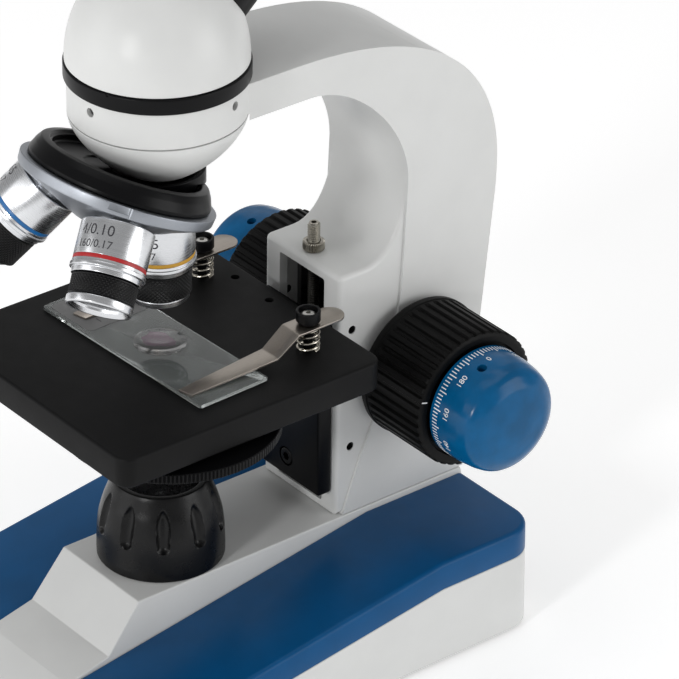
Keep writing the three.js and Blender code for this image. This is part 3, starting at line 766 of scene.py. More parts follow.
def screws_underneath(r, depth, places, z):
    """Countersunk screws with cross recesses, their flat faces down at height z."""
    made = []
    for x, y in places:
        head = spun([(0, -depth), (r * 0.7, -depth), (r, -0.25, 0.1), (r, 0, 0.12), (0, 0)], 36)
        arm, wide = r * 0.55, r * 0.13
        head = cut(head, block((-arm, -wide, -r * 0.45), (arm, wide, 1)),
                   block((-wide, -arm, -r * 0.45), (wide, arm, 1)))
        made.append(moved(turned(head, 180, "X"), x, y, z))
    return joined(*made)


def bottom_plate():
    low, high = span("bottom_plate")
    cover_low, cover_high = span("battery_cover")
    inset = BASE_HALF - 0.5 - high.x + 0.5
    plate = plan_solid(plan_fields(inset), lambda y: high.z, lambda y: low.z)
    bevel(plate, 0.2, 2)
    holes = [moved(drill(7.3, -9, 9, 48), x, y, low.z) for x, y in FOOT_CENTRES]
    door = block((cover_low.x - 0.4, cover_low.y - 0.4, low.z - 4),
                 (cover_high.x + 0.4, cover_high.y + 0.4, high.z + 4))
    return cut(plate, door, *holes)


def battery_cover():
    low, high = span("battery_cover")
    plate = block(low, high, 0.25)
    grips = [block((x, low.y + 7, low.z - 1), (x + 1.2, low.y + 15, low.z + 0.35), 0.15)
             for x in (-6, -3, 0, 3, 6)]
    holes = [moved(drill(2.2, -2, 2), x, y, low.z) for x, y in door_screw_places()]
    return cut(plate, *grips, *holes)


def door_screw_places():
    y = span("battery_cover")[1].y - 5
    return [(-18, y), (18, y)]


def rocker():
    """The switch's rocker, drawn about its own pivot, standing with its lower half pushed in."""
    outline = rounded([(-7, -5.2), (0, -5.2, 0.5), (1.5, 0, 3), (0, 5.2, 0.5), (-7, 5.2)])
    return moved(turned(prism(outline, -9.2, 9.2, ACROSS, 0.35), 7, "X"), *ROCKER)


def make_inlet():
    low, high = span("dc_inlet")
    middle = (low + high) / 2
    socket = moved(turned(drill(3.1, -10, 5, 64), -90, "X"), middle.x, BASE_REAR, middle.z)
    shell = cut(block(low, (high.x, BASE_REAR + LIP, high.z), 0.5), socket)
    piece("inlet_housing", shell, "stand", CASE_BLACK, stands_for=["dc_inlet"])
    pin = turned(spun([(0, -9.5), (0.9, -9.5), (0.9, -1, 0.5), (0, -1)], 24), -90, "X")
    piece("inlet_pin", moved(pin, middle.x, BASE_REAR, middle.z), "stand", NICKEL)


def make_base():
    piece("base_casting", base_shell(), "stand", WHITE, stands_for=["base_shell"])
    for side, word in SIDES:
        piece(f"{word}_wing_panel", wing(side), "stand", BLUE, stands_for=[f"{word}_wing"])
    piece("base_underplate", bottom_plate(), "stand", SHEET_BLACK,
          stands_for=["bottom_plate"])
    piece("battery_door", battery_cover(), "stand", CASE_BLACK,
          stands_for=["battery_cover"])
    screws = screws_underneath(1.9, 2.5, door_screw_places(), span("battery_cover")[0].z + 0.1)
    piece("battery_door_screws", screws, "stand", BRIGHT_STEEL)
    screws = screws_underneath(2.2, 2.4, PLATE_SCREWS, span("bottom_plate")[0].z - 0.25)
    piece("underplate_screws", screws, "stand", BRIGHT_STEEL)
    for name, (x, y) in zip(("front_left", "front_right", "rear_left", "rear_right"), FOOT_CENTRES):
        piece(f"rubber_{name}_foot", foot_pad(x, y), "stand", RUBBER, stands_for=[f"foot_{name}"])
    piece("rocker_cap", rocker(), "rocker", CASE_BLACK, stands_for=["power_switch"])
    bezel = block((ROCKER.x - 11.2, BASE_REAR - 0.15, ROCKER.z - 7.2),
                  (ROCKER.x + 11.2, BASE_REAR + LIP, ROCKER.z + 7.2), 0.4)
    piece("switch_bezel", cut(bezel, rear_window(9.6, 5, 5.8)), "stand", CASE_BLACK)
    make_inlet()
    refinish("battery_holder", CASE_BLACK, 0.3)


# ---------------- lamp
LAMP_BOTTOM, LAMP_TOP = (corner.z for corner in span("lamp_housing"))
FLUTES = 10
FLUTE_TOP, FLUTE_BOTTOM = -48.9, -62.6
FLUTE_DEPTH, FLUTE_HALF = 1.7, 2.35
FLUTE_PHASE = math.radians(-34.2)


def flute_depth(angle, z):
    """Long scoops with a round top and a narrower round foot."""
    share = (FLUTE_TOP - z) / (FLUTE_TOP - FLUTE_BOTTOM)
    if not 0 < share < 1:
        return 0.0
    half = FLUTE_HALF * math.sin(math.pi * min(share / 0.4, 1.0) ** 0.7 / 2) - max(0, share - 0.4)
    half *= min(1.0, math.sqrt(max(0.0, 1 - share) / 0.1))
    step = 2 * math.pi / FLUTES
    off = ((angle - FLUTE_PHASE + step / 2) % step - step / 2) * 18.5
    inside = 1 - (off / half) ** 2 if half > 0.05 else 0
    return FLUTE_DEPTH * inside ** 0.65 * min(1.0, half / 2) if inside > 0 else 0.0


def lamp_bell():
    bottom = [(19.6, LAMP_BOTTOM), (19.85, LAMP_BOTTOM + 0.3), (19.9, -70.5), (19.9, -69.5)]
    side = [(19.8, -66.6), (19.6, -62.6), (19.25, -59.5), (18.8, -57.2), (17.6, -53), (16.4, -49.9),
            (15.2, -46.6)]
    outer = smooth_through([*bottom, *side], 8)
    rim = rounded([(15.2, -46.6), (14.7, LAMP_TOP, 0.5), (12.9, LAMP_TOP, 0.5), (12.3, -47.3),
                   (12.3, LAMP_BOTTOM)], closed=False)
    return lathe(outer + rim[1:], 360, lambda r, angle, z: r - (flute_depth(angle, z) if r > 14.5 else 0))


def smooth_through(points, steps):
    """A smooth line (Catmull-Rom) through the points."""
    made = []
    for i in range(len(points) - 1):
        p = [Vector(points[max(0, min(len(points) - 1, i + k))]) for k in (-1, 0, 1, 2)]
        for s in range(steps):
            t = s / steps
            bend = (2 * p[0] - 5 * p[1] + 4 * p[2] - p[3]) * t * t
            twist = (3 * p[1] - p[0] - 3 * p[2] + p[3]) * t ** 3
            made.append(tuple(0.5 * (2 * p[1] + (p[2] - p[0]) * t + bend + twist)))
    made.append(points[-1])
    return made


def make_lamp():
    piece("lamp_bell", lamp_bell(), "stand", LAMP_BLACK, stands_for=["lamp_housing"],
          sharp=40)
    dome = smooth_through([(11.9, -48.9), (11, -47.8), (8.5, -46.6), (4.5, -45.8), (0, -45.5)], 6)
    lens = [(0, -50.8), (11.9, -50.8), *dome]
    piece("lamp_lens", lathe(lens, 72), "stand", SMOKED_GLASS, stands_for=["collector_lens"])
    refinish("led_lamp", LAMP_WHITE, 0.2)


# ---------------- arm
ARM_TOP = 90.3
ARM_FOOT = span("arm")[0].z
ARM_HALF = 19.2
PILLAR_HALF = 18.4
PILLAR_FRONT = 54.5
PILLAR_TOP = 12.4
THROAT_TOP = 78.4
SOCKET_R = -span("arm")[0].x
SOCKET_LOW, SOCKET_HIGH = 80.6, span("arm")[1].z


def arm_outline():
    points = [(56.4, ARM_FOOT), (105.4, ARM_FOOT), (114.9, 20)]
    points += curve((114.9, 20), (115.7, 27), (115.7, 33.7), steps=5)
    points += curve((115.7, 33.7), (115.7, 69.9), (87.7, ARM_TOP), (38, ARM_TOP), steps=26)
    points += [(12, ARM_TOP), (12, THROAT_TOP), (41.7, THROAT_TOP)]
    points += curve((41.7, THROAT_TOP), (59.7, THROAT_TOP), (80.1, 57.2), (80.1, 38.4), steps=22)
    points += curve((80.1, 38.4), (79.4, 18), (78.3, 0.6), steps=6)
    points += curve((78.3, 0.6), (74.5, -31), (63.2, -54.1), steps=10)
    return points


def pillar_outline():
    points = rounded([(90, ARM_FOOT), (90, 30), (84, 38.4), (80.1, 38.4)], closed=False)
    points += curve((80.1, 38.4), (80.1, 24.2), (73.8, PILLAR_TOP), (65, PILLAR_TOP), steps=12)
    points += rounded([(65, PILLAR_TOP), (PILLAR_FRONT, PILLAR_TOP, 1.8), (PILLAR_FRONT, ARM_FOOT)],
                      closed=False)[1:]
    return points


def outside(point):
    """On the back, shoulder or top of the arm, rather than in its throat."""
    return point.y > 100 or point.z > 82


def arm_casting():
    def along_side(edge):
        return abs(edge.verts[0].co.x - edge.verts[1].co.x) < 0.01

    back = prism(arm_outline(), -ARM_HALF, ARM_HALF, ACROSS)
    bevel(back, 3.2, 6, lambda e: along_side(e) and all(outside(v.co) for v in e.verts))
    bevel(back, 2.6, 6, lambda e: along_side(e) and edge_angle(e) > 70
          and not any(outside(v.co) for v in e.verts))
    pillar = prism(pillar_outline(), -PILLAR_HALF, PILLAR_HALF, ACROSS, 1.6, 5)
    ring = spun([(0, SOCKET_LOW), (SOCKET_R, SOCKET_LOW, 0.25), (SOCKET_R, SOCKET_HIGH, 0.35),
                 (0, SOCKET_HIGH)], 128)
    body = fused(back, pillar, ring)
    cavity = block((-13.5, 57.5, ARM_FOOT + 2.1), (13.5, 92, 9))
    slot = prism(rectangle(-11, 11, ARM_FOOT + 2.1, 8.9, 0.8), -58.5, -PILLAR_FRONT + 5, spin(90, "X"))
    shaft = crosswise(drill(4.6, -40, 40), SHAFT.y, SHAFT.z)
    stop = moved(drill(2.35, 5, 16), STOP.x, STOP.y)
    bore = drill(22.5, SOCKET_LOW + 2.7, SOCKET_HIGH + 5, 96)
    neck = drill(12, 70, 100, 48)
    cup_room = drill(SOCKET_R + 0.35, 60, SOCKET_LOW - 0.1, 128)
    set_screws = [crosswise(drill(HOLE_R, -40, 40, 24), y, z) for y, z in PILLAR_HOLES]
    grubs = [turned(crosswise(drill(HOLE_R, 20, 30, 24), 0, GRUB_Z), angle, "Z") for angle in GRUB_ANGLES]
    return cut(body, cavity, slot, shaft, stop, bore, neck, cup_room, *set_screws, *grubs)


HOLE_R = 1.45
PILLAR_HOLES = [(59.7, -7.3), (59.7, -49.1)]
GRUB_ANGLES = [-83.5, 20.5, 138]
GRUB_Z = 88.6


def grub_screws():
    """Slotted screws sunk in the socket's wall."""
    made = []
    for angle in GRUB_ANGLES:
        screw = spun([(0, 22.7), (1.3, 22.7), (1.3, 25.5, 0.2), (0, 25.5)], 24)
        screw = cut(screw, block((-2, -0.22, 24.8), (2, 0.22, 27)))
        made.append(turned(crosswise(screw, 0, GRUB_Z), angle, "Z"))
    return joined(*made)


def threaded(r, low, high):
    """A threaded rod with a hexagon socket: its radius rises and falls along a helix."""
    pitch, depth = 0.8, 0.5
    rows = int((high - low) / pitch * 8)

    def groove(radius, angle, z):
        if radius < r or z > high - 0.4 or z < low + 0.4:
            return radius - (depth if radius >= r else 0)
        phase = ((z / pitch) - angle / (2 * math.pi)) % 1
        return radius - depth * abs(2 * phase - 1)
    wall = [(r, low + (high - low) * i / rows) for i in range(rows + 1)]
    rod = lathe([(0, low), (r - 0.5, low), *wall, (r - 0.6, high + 0.15), (0, high + 0.15)], 24, groove)
    return cut(rod, prism(circle(0.95, 6), high - 1.6, high + 1))


def knurled_nut():
    teeth, low, high = 30, 12.7, 15.7

    def notch(radius, angle, z):
        return radius - (0.42 * (0.5 + 0.5 * math.cos(teeth * angle)) ** 0.8 if radius >= 3.2 else 0)
    profile = rounded([(2.15, low), (3.45, low, 0.35), (3.45, high, 0.5), (2.15, high, 0.2)], steps=3)
    dense = []
    for (r0, z0), (r1, z1) in zip(profile, profile[1:] + profile[:1]):
        steps = 4 if abs(z1 - z0) > 1 and r0 > 3 else 1
        dense += [(r0 + (r1 - r0) * k / steps, z0 + (z1 - z0) * k / steps) for k in range(steps)]
    return lathe(dense, teeth * 8, notch)


def pillar_screws_in_painted_shadow():
    """Socket screws deep in the pillar's cross holes, each with a tube lining the hole in front of it; all
    flat black as painted shadow inside the holes.
    """
    made = []
    for y, z in PILLAR_HOLES:
        for side in (-1, 1):
            plug = cut(drill(HOLE_R - 0.05, 13.6, 18.1, 24), drill(1.2, 14.6, 19, 24),
                       prism(circle(0.7, 6), 14.0, 17))
            made.append(moved(turned(plug, 90 * side, "Y"), 0, y, z))
    return joined(*made)


def make_arm():
    piece("arm_casting", arm_casting(), "stand", WHITE, stands_for=["arm"])
    piece("socket_grub_screws", grub_screws(), "stand", DARK_STEEL)
    for word in ("left", "right"):
        refinish(f"guide_rail_{word}", DARK_STEEL, 0.25)
    # Black set screws and tube linings: painted shadow in the pillar's holes.
    piece("rail_screws_in_painted_shadow", pillar_screws_in_painted_shadow(), "stand", SHADOW)
    low, high = span("stop_screw")
    middle = 8      # where the thread inside the pillar begins; the screw below is darker, painted shade in the slot
    stem, shank = threaded(2.05, middle, high.z - 0.2), threaded(1.9, low.z, middle - 0.1)
    piece("threaded_stop_screw", moved(stem, STOP.x, STOP.y), "stop_bolt", DULL_NICKEL,
          stands_for=["stop_screw"])
    # The lower part of the stop screw is darker than its upper part: painted shade in the slot.
    piece("stop_shank_painted_shade", moved(shank, STOP.x, STOP.y), "stop_bolt", SHANK_SHADE_STEEL)
    piece("knurled_stop_nut", moved(knurled_nut(), STOP.x, STOP.y), "stop_locknut", DULL_NICKEL,
          stands_for=["stop_nut"])


# ---------------- focus drive
KNOB_R = 22.6
KNOB_INNER, KNOB_OUTER = 21.6, 49.4
DIAL_R = 18.4
DIAL_INNER, CAP_TIP = 49.9, span("fine_knob_right")[1].x
RIBS = 42
SCALE_ZERO = 184.0     # where the dial's 0 stands round the shaft, in degrees
INDEX_ANGLE = 253.5
CAP_HOLE = {"right": (197.5, 58.6), "left": (-16.0, 55.8)}     # angle and place along the shaft


def coarse_knob():
    """A ribbed knob: grooves from a smooth inner band out through the outer chamfer."""
    def rib(radius, angle, z):
        if radius < KNOB_R - 1 or z < KNOB_INNER + 3.4:
            return radius
        wave = math.cos(RIBS * angle)
        fade = min(1.0, (z - KNOB_INNER - 3.4) / 1.2, 0.25 + (KNOB_OUTER - 0.4 - z) / 0.6)
        return radius - 0.85 * fade * max(0.0, min(1.0, 0.25 + 1.2 * wave))
    face = KNOB_OUTER - 1.5
    r, low, high = KNOB_R, KNOB_INNER, KNOB_OUTER
    profile = rounded([(4.5, low), (r + 0.2, low, 1.2), (r + 0.3, low + 2.8, 0.5), (r, low + 3.1)],
                      closed=False)
    profile += [(r, low + 3.4 + 0.3 * i) for i in range(5)]
    profile += [(r, high - 10), (r, high - 1), (r - 0.1, high - 0.7), (r - 0.4, high - 0.4)]
    profile += rounded([(r - 1.1, high - 0.1), (r - 1.7, high, 0.3), (DIAL_R + 0.7, high, 0.3),
                        (DIAL_R + 0.6, face), (4.5, face)])
    return lathe(profile, RIBS * 14, rib)


def cap_profile():
    return rounded([(DIAL_R - 2.5, DIAL_INNER), (DIAL_R, DIAL_INNER, 0.3), (DIAL_R, 57.5, 20),
                    (DIAL_R - 0.5, 62, 9), (16.9, 66.2, 4.5), (12.6, 68.8, 9), (6, CAP_TIP - 0.25, 20),
                    (0, CAP_TIP)], closed=False, steps=8)


def fine_cap(hole_angle, along):
    body = lathe([(0, DIAL_INNER), *cap_profile()], 144)
    hole = turned(crosswise(drill(1.55, 12, 22, 24), 0, along), hole_angle, "Z")
    return cut(body, hole, prism(circle(2.9, 32), 40, DIAL_INNER + 16))


def dial_marks():
    """Tick marks and numbers printed round the dial."""
    made = []
    ticks, numbers, tick_foot, number_middle = 100, 10, 51.2, 56.9
    for i in range(ticks):
        line = block((-0.17, 0, -0.02), (0.17, 3.1 if i % 5 == 0 else 2.1, 0.05))
        made.append(wrapped(line, DIAL_R, math.radians(SCALE_ZERO + 360 * i / ticks), tick_foot))
    for i in range(numbers):
        number = lettering(str((200 - 20 * i) % 200), 2.9, 0.08)
        angle = math.radians(SCALE_ZERO + 360 * i / numbers)
        made.append(wrapped(number, DIAL_R + 0.01, angle, number_middle, -1, 0.02))
    return joined(*made)


def index_mark():
    """A dash on the right knob's outer face, beside the dial."""
    mark = turned(block((-0.2, -1.1, -0.03), (0.2, 1.0, 0.06)), 90, "Z")
    return turned(moved(mark, KNOB_R - 1.7, 0, KNOB_OUTER + 0.01), INDEX_ANGLE, "Z")


def make_focus_drive():
    for side, word in SIDES:
        place = outward(side)
        piece(f"{word}_coarse_grip", coarse_knob(), "coarse_drive", KNOB_BLACK, place,
              [f"coarse_knob_{word}"], 28)
        hole_angle, along = CAP_HOLE[word]
        piece(f"{word}_fine_cap", fine_cap(hole_angle, along), "fine_drive", CAP_BLUE, place,
              [f"fine_knob_{word}"])
        if word == "right":
            piece("dial_marks", dial_marks(), "fine_drive", INK_WHITE, place)
            piece("dial_index_mark", index_mark(), "coarse_drive", INK_WHITE, place)
        screw = cut(drill(1.35, 13.4, 15.4, 24), prism(circle(0.75, 6), 14.4, 19))
        screw = turned(crosswise(screw, 0, along), hole_angle, "Z")
        piece(f"{word}_cap_grub_screw", screw, "fine_drive", DARK_STEEL, place)
    for node, finish, edge in (("coarse_shaft", SHAFT_STEEL, 0), ("fine_shaft", SHAFT_STEEL, 0),
                               ("focus_pinion", BRASS, 0.05), ("focus_rack", BRASS, 0.05),
                               ("carriage", STAGE_BLACK, 0.4)):
        refinish(node, finish, edge)


# ---------------- stage
STAGE_THICK = 10
STAGE_HOLES = [(-19.1, 43.4), (-1.5, 43)]
UPRIGHT_SCREW_Z = -57.6
SLIDE_CENTRE = (-1.1, -1.2)
SLIDE_TURN = 2.1
SLIDE_LOW, SLIDE_HIGH = (corner.z for corner in span("specimen_slide"))
DISC_R = 33.3
DISC_TEETH = 170
OPENING_RADII = (8, 6.4, 4.8, 3.4, 2)


def stage_table():
    low, high = span("stage_plate")
    body = prism(rectangle(low.x, high.x, low.y, high.y, 5), low.z, high.z, None, 1.0, 5)
    holes = [moved(drill(1.4, -4, 5), x, y) for x, y in STAGE_HOLES]
    light_hole = spun([(0, -20), (9.5, -20), (9.5, -0.6, 0.2), (10.1, 0.6), (0, 0.6)], 72)
    return cut(body, light_hole, *holes)


def stage_bracket():
    low, high = span("stage_bracket")
    upright = block((low.x, 48.9, low.z), (high.x, high.y, high.z - 4), 0.9, 4)
    shelf = block((-15, low.y, -16.5), (15, 50, -STAGE_THICK - 0.3), 0.6)
    recess = moved(turned(drill(3.3, -1, 8, 40), 90, "X"), 0, 52, UPRIGHT_SCREW_Z)
    return cut(fused(upright, shelf), recess)


def upright_screw():
    r, tall = 2.8, 2.9
    head = spun([(0, 0), (r, 0, 0.1), (r, tall, 0.4), (0, tall)], 48)
    screw = turned(cut(head, prism(circle(1.5, 6), tall * 0.45, tall + 1)), 90, "X")
    return moved(screw, 0, 51.8, UPRIGHT_SCREW_Z)


def diaphragm():
    """A disc with a serrated rim and five openings, the widest of them on the optical axis."""
    low, high = span("disc_diaphragm")
    outline = []
    for i in range(DISC_TEETH):
        for share, r in ((0.0, DISC_R - 0.42), (0.28, DISC_R), (0.66, DISC_R), (0.94, DISC_R - 0.42)):
            angle = 2 * math.pi * (i + share) / DISC_TEETH
            outline.append((r * math.cos(angle), r * math.sin(angle)))
    disc = prism(outline, low.z, high.z)
    inner, outer = DISC_R - 0.9, DISC_R + 0.5
    above = lathe([(inner, high.z + 0.5), (outer, high.z + 0.5), (outer, high.z - 0.65)], DISC_TEETH)
    below = lathe([(inner, low.z - 0.5), (outer, low.z + 0.65), (outer, low.z - 0.5)], DISC_TEETH)
    away = [above, below, drill(2.3, -30, 0, 24)]
    centres = circle(math.hypot(DISC.x, DISC.y), len(OPENING_RADII), start=math.atan2(-DISC.y, -DISC.x))
    for r, (x, y) in zip(OPENING_RADII, centres):
        away.append(moved(drill(r, -30, 0, 48), x, y))
    return moved(cut(disc, *away), DISC.x, DISC.y)


def post_cap():
    low, high, r = 9.5, 13.7, 3.8
    ring = spun([(0, low), (3.1, low, 0.2), (3.1, low + 0.8, 0.1), (r, low + 0.9, 0.2), (r, high, 0.3),
                 (2.95, high, 0.2), (2.85, high - 1.9), (0, high - 1.9)], 56)
    return fused(ring, drill(1.5, 0.3, low + 0.2, 24))


def cap_screw():
    head = spun([(0, 11.2), (2.6, 11.2), (2.6, 12.1, 0.3), (1.8, 12.75, 1), (0, 13.0)], 40)
    return cut(head, prism(circle(0.8, 6), 11.9, 14))


def spring():
    """An open coil with its end turns lying flat."""
    turns, wire, r, low, high, flat = 4.6, 0.4, 3.3, 0.75, 8.2, 0.12
    points = []
    steps = int(turns * 20)
    for i in range(steps + 1):
        share = i / steps
        rise = min(1.0, max(0.0, (share - flat) / (1 - 2 * flat)))
        angle = 2 * math.pi * turns * share
        z = low + wire * 2 * min(share, flat) + (high - low - 0.2) * rise
        points.append((r * math.cos(angle), r * math.sin(angle), z))
    return sweep(points, wire)


TAB_CENTRE, TAB_HALF = 8.3, 4.4       # the clip's round end, behind its post
CLIP_THICK, CLIP_HEIGHT = 0.7, 8.6
FINGER_START, FINGER_END = -9, -46.6
WIDTH_AT_SLOPE, TAPER = 4.15, 1.7


def clip_half(along):
    """Half the clip's width: round at the tab, then slowly narrower down to its tip."""
    if along > TAB_CENTRE:
        return math.sqrt(max(0.02, TAB_HALF ** 2 - (along - TAB_CENTRE) ** 2))
    if along > FINGER_START:
        share = (TAB_CENTRE - along) / (TAB_CENTRE - FINGER_START)
        return TAB_HALF - (TAB_HALF - WIDTH_AT_SLOPE) * share
    return WIDTH_AT_SLOPE - TAPER * (FINGER_START - along) / (FINGER_START - FINGER_END)


def clip_line():
    """The clip's (position, height) line with round bends, dense at its round end."""
    line = rounded([(TAB_CENTRE + TAB_HALF, CLIP_HEIGHT), (-6.7, CLIP_HEIGHT, 1.6), (-14.6, 3.1, 1.6),
                    (FINGER_END, 1.5)], closed=False, steps=6)
    start, height = line[0]
    tab = [(start - TAB_HALF * (1 - math.cos(math.radians(a))), height) for a in range(0, 90, 9)]
    return tab + line[1:]


def clip_strip(lean, tip_cut):
    """A bent strip of spring steel: raised tab, slope, and a finger that lies on the slide."""
    bm = bmesh.new()
    loops = []
    for along, z in clip_line():
        half = clip_half(along)
        shift = lean * (along - TAB_CENTRE)
        skew = tip_cut * max(0.0, (-42 - along) / 4.6)
        loops.append([bm.verts.new((shift + u * half, along + skew * u * half, z + lift))
                      for u, lift in ((-1, 0), (1, 0), (1, CLIP_THICK), (-1, CLIP_THICK))])
    for low, high in zip(loops, loops[1:]):
        for k in range(4):
            bm.faces.new((low[k], low[(k + 1) % 4], high[(k + 1) % 4], high[k]))
    bm.faces.new(loops[0][::-1])
    bm.faces.new(loops[-1])
    bmesh.ops.recalc_face_normals(bm, faces=bm.faces)
    bevel(bm, 0.12, 2, lambda e: edge_angle(e) > 50)
    return cut(bm, drill(2.0, 5, 12))


def specimen_outline():
    """An uneven oval."""
    made = []
    for i in range(64):
        angle = 2 * math.pi * i / 64
        waves = ((3, 1, 0.07), (7, 0, 0.05), (13, 2, 0.03))
        r = 1 + sum(height * math.sin(count * angle + start) for count, start, height in waves)
        made.append((6.1 * r * math.cos(angle) + 1.1, 4.4 * r * math.sin(angle) + 1.2))
    return made


def make_slide():
    body, top = "slide_glass", SLIDE_HIGH
    place = OPTICAL @ Matrix.Translation((*SLIDE_CENTRE, 0)) @ spin(SLIDE_TURN)
    outline = rounded([(x, y, 0.9) for x, y in ((-38, -13), (38, -13), (38, 13), (-38, 13))], steps=4)
    piece("glass_slide", prism(outline, SLIDE_LOW, top, None, 0.06, 2), body, GLASS, place,
          ["specimen_slide"])
    sticker = prism(rectangle(-36.5, -16.5, -11.5, 11.5, 2), top + 0.01, top + 0.09)
    piece("slide_label", sticker, body, LABEL, place)
    text = turned(lettering("No. 1", 3.4, 0.04), -90, "Z")
    piece("slide_number", moved(text, -20.5, -2, top + 0.11), body, INK_BLACK, place)
    cover = prism(circle(8.2, 72), top + 0.02, top + 0.17, None, 0.05, 2)
    piece("cover_glass", moved(cover, 1.4, 1.2), body, COVER_GLASS, place)
    specimen = prism(specimen_outline(), top + 0.003, top + 0.018)
    piece("stained_specimen", specimen, body, TISSUE, place)


def make_stage():
    piece("stage_table", stage_table(), "stage", STAGE_BLACK, stands_for=["stage_plate"])
    piece("stage_upright", stage_bracket(), "stage", SATIN_BLACK,
          stands_for=["stage_bracket"])
    piece("upright_socket_screw", upright_screw(), "stage", BLACKED_STEEL,
          stands_for=["bracket_screw"])
    piece("serrated_diaphragm", diaphragm(), "diaphragm", SATIN_BLACK,
          stands_for=["disc_diaphragm"], sharp=25)
    refinish("diaphragm_pivot", BRIGHT_STEEL, 0.1)
    for word, post, lean in (("right", RIGHT_POST, -0.01), ("left", LEFT_POST, 0.0)):
        at = OPTICAL @ Matrix.Translation((post.x, post.y, 0))
        piece(f"{word}_post_cap", post_cap(), "stage", SATIN_BLACK, at, [f"clip_post_{word}"])
        piece(f"{word}_post_screw", cap_screw(), "stage", BRIGHT_STEEL, at)
        piece(f"{word}_coil_spring", spring(), "stage", NICKEL, at, [f"clip_spring_{word}"])
        piece(f"{word}_spring_clip", clip_strip(lean, 0.25), f"{word}_clip", CLIP_STEEL, at,
              [f"stage_clip_{word}"])
    make_slide()


# ---------------- head
CUP_WIDEST, CUP_DEPTH, CUP_POWER = 80.2, 22.8, 1.47
CUP_WALL = 2.6


def head_ring():
    low, high = span("head_ring")
    r = high.x
    ring = hoop([(22.6, low.z), (r, low.z, 0.35), (r, high.z, 0.45), (22.6, high.z)], 144)
    notch = turned(block((r - 0.35, -0.5, high.z - 0.7), (r + 1, 0.5, high.z + 1), 0.1), -68, "Z")
    return cut(ring, notch)


def head_cup():
    """The white cup and the metal lip round its foot."""
    low, high = span("head_cup")
    steps, start = 26, low.z + 1.7
    outer = []
    for i in range(steps + 1):
        z = start + (high.z - 0.15 - start) * (1 - math.cos(math.pi * i / steps / 2))
        outer.append((cup_radius(z), z))
    rim = [(SOCKET_R - 0.15, high.z), (SOCKET_R - CUP_WALL, high.z)]
    inner = [(max(9.0, r - CUP_WALL), z + 1.2) for r, z in outer[::-1] if z + 1.2 < high.z - 1]
    cup = lathe(outer + rim + inner + [(9, start)], 144)
    foot = cup_radius(start)
    lip = hoop([(8.2, low.z), (9.6, low.z, 0.4), (foot - 1.2, start - 0.9, 0.6),
                (foot - 0.3, start - 0.06, 0.1), (8.2, start - 0.06)], 120)
    return cut(cup, beyond_cover()), cut(lip, beyond_cover())


def nose_collar():
    top, r = span("nosepiece_collar")[1].z, 14.2
    collar = hoop([(9, 45), (r, 45), (r, top, 0.4), (13.1, top, 0.3), (12, top - 1.4, 0.3),
                   (9, top - 1.4)], 96)
    return cut(collar, beyond_cover())


def make_fixed_head():
    piece("black_head_ring", head_ring(), "stand", SATIN_BLACK, stands_for=["head_ring"])
    cup, lip = head_cup()
    piece("lower_head_cup", cup, "stand", WHITE, stands_for=["head_cup"])
    piece("cup_lip", lip, "stand", DULL_NICKEL)
    piece("black_nose_collar", nose_collar(), "stand", SATIN_BLACK,
          stands_for=["nosepiece_collar"])


def cup_radius(z):
    share = min(1.0, max(0.0, (CUP_WIDEST - z) / CUP_DEPTH))
    return SOCKET_R * (1 - share ** CUP_POWER) ** (1 / CUP_POWER)


def beyond_cover():
    """Everything past the dished top of the nosepiece's black cover."""
    gap = 0.15
    solid = lathe([(0, -90), (60, -90), (60, COVER_TOP + gap), (DISH_R - gap, COVER_TOP + gap),
                   (DISH_R - gap, DISH + gap), (0, DISH + gap)], 96)
    solid.transform(OPTICAL.inverted() @ TURRET)
    return solid


COVER_BOTTOM, COVER_R = -33.8, 28.3
COVER_TOP, COVER_TOP_R = -27.7, 25.1
DISH, DISH_R = -31.0, 22.4
TURRET_TOP, TURRET_RIM, TURRET_FACE, TURRET_R = -34.1, -37.4, -47.0, 30.5
SEAT = -47.3
BARREL_R = 11.0
BAND_TOP, BAND_BOTTOM = -58.1, -59.4
LEDGE = -60.4
BARREL_END = -63.3


def nose_cover():
    top = COVER_TOP
    plate = hoop([(3.4, COVER_BOTTOM), (COVER_R, COVER_BOTTOM, 0.3), (COVER_R, COVER_BOTTOM + 1.2, 0.8),
                  (COVER_TOP_R + 2.1, top - 2.2, 2), (COVER_TOP_R + 0.9, top - 0.3, 0.8),
                  (DISH_R + 1.1, top, 0.5), (DISH_R + 0.6, top - 0.9, 0.3), (DISH_R, top - 1.1, 0.3),
                  (DISH_R, DISH, 0.8), (12, DISH, 0.2), (11.6, DISH - 0.5, 0.2), (3.4, DISH - 0.5)], 160)
    return cut(plate, turned(drill(8, -60, 20, 64), NOSE_TILT, "X"))


def nose_turret():
    """The turret's casting, with a seat, a shallow window and a click notch for each objective."""
    body = hoop([(3.4, TURRET_FACE), (10, TURRET_FACE, 0.8), (TURRET_R - 0.3, TURRET_RIM, 0.7),
                 (TURRET_R, TURRET_TOP, 0.35), (3.4, TURRET_TOP)], 160)
    away = []
    for angle in (0, 120, 240):
        for r, low, high in ((7.9, -60, -20), (BARREL_R + 0.4, -60, SEAT - 0.05)):
            away.append(turned(turned(drill(r, low, high, 64), NOSE_TILT, "X"), angle, "Z"))
        window = block((TURRET_R - 0.55, -3.1, TURRET_RIM + 1.1),
                       (TURRET_R + 1, 3.1, TURRET_TOP + 1), 0.15, 2)
        away.append(turned(window, angle - 38, "Z"))
        notch = moved(drill(0.7, TURRET_RIM - 1, TURRET_TOP + 2, 24), TURRET_R + 0.3)
        away.append(turned(notch, angle - 31.5, "Z"))
    return cut(body, *away)


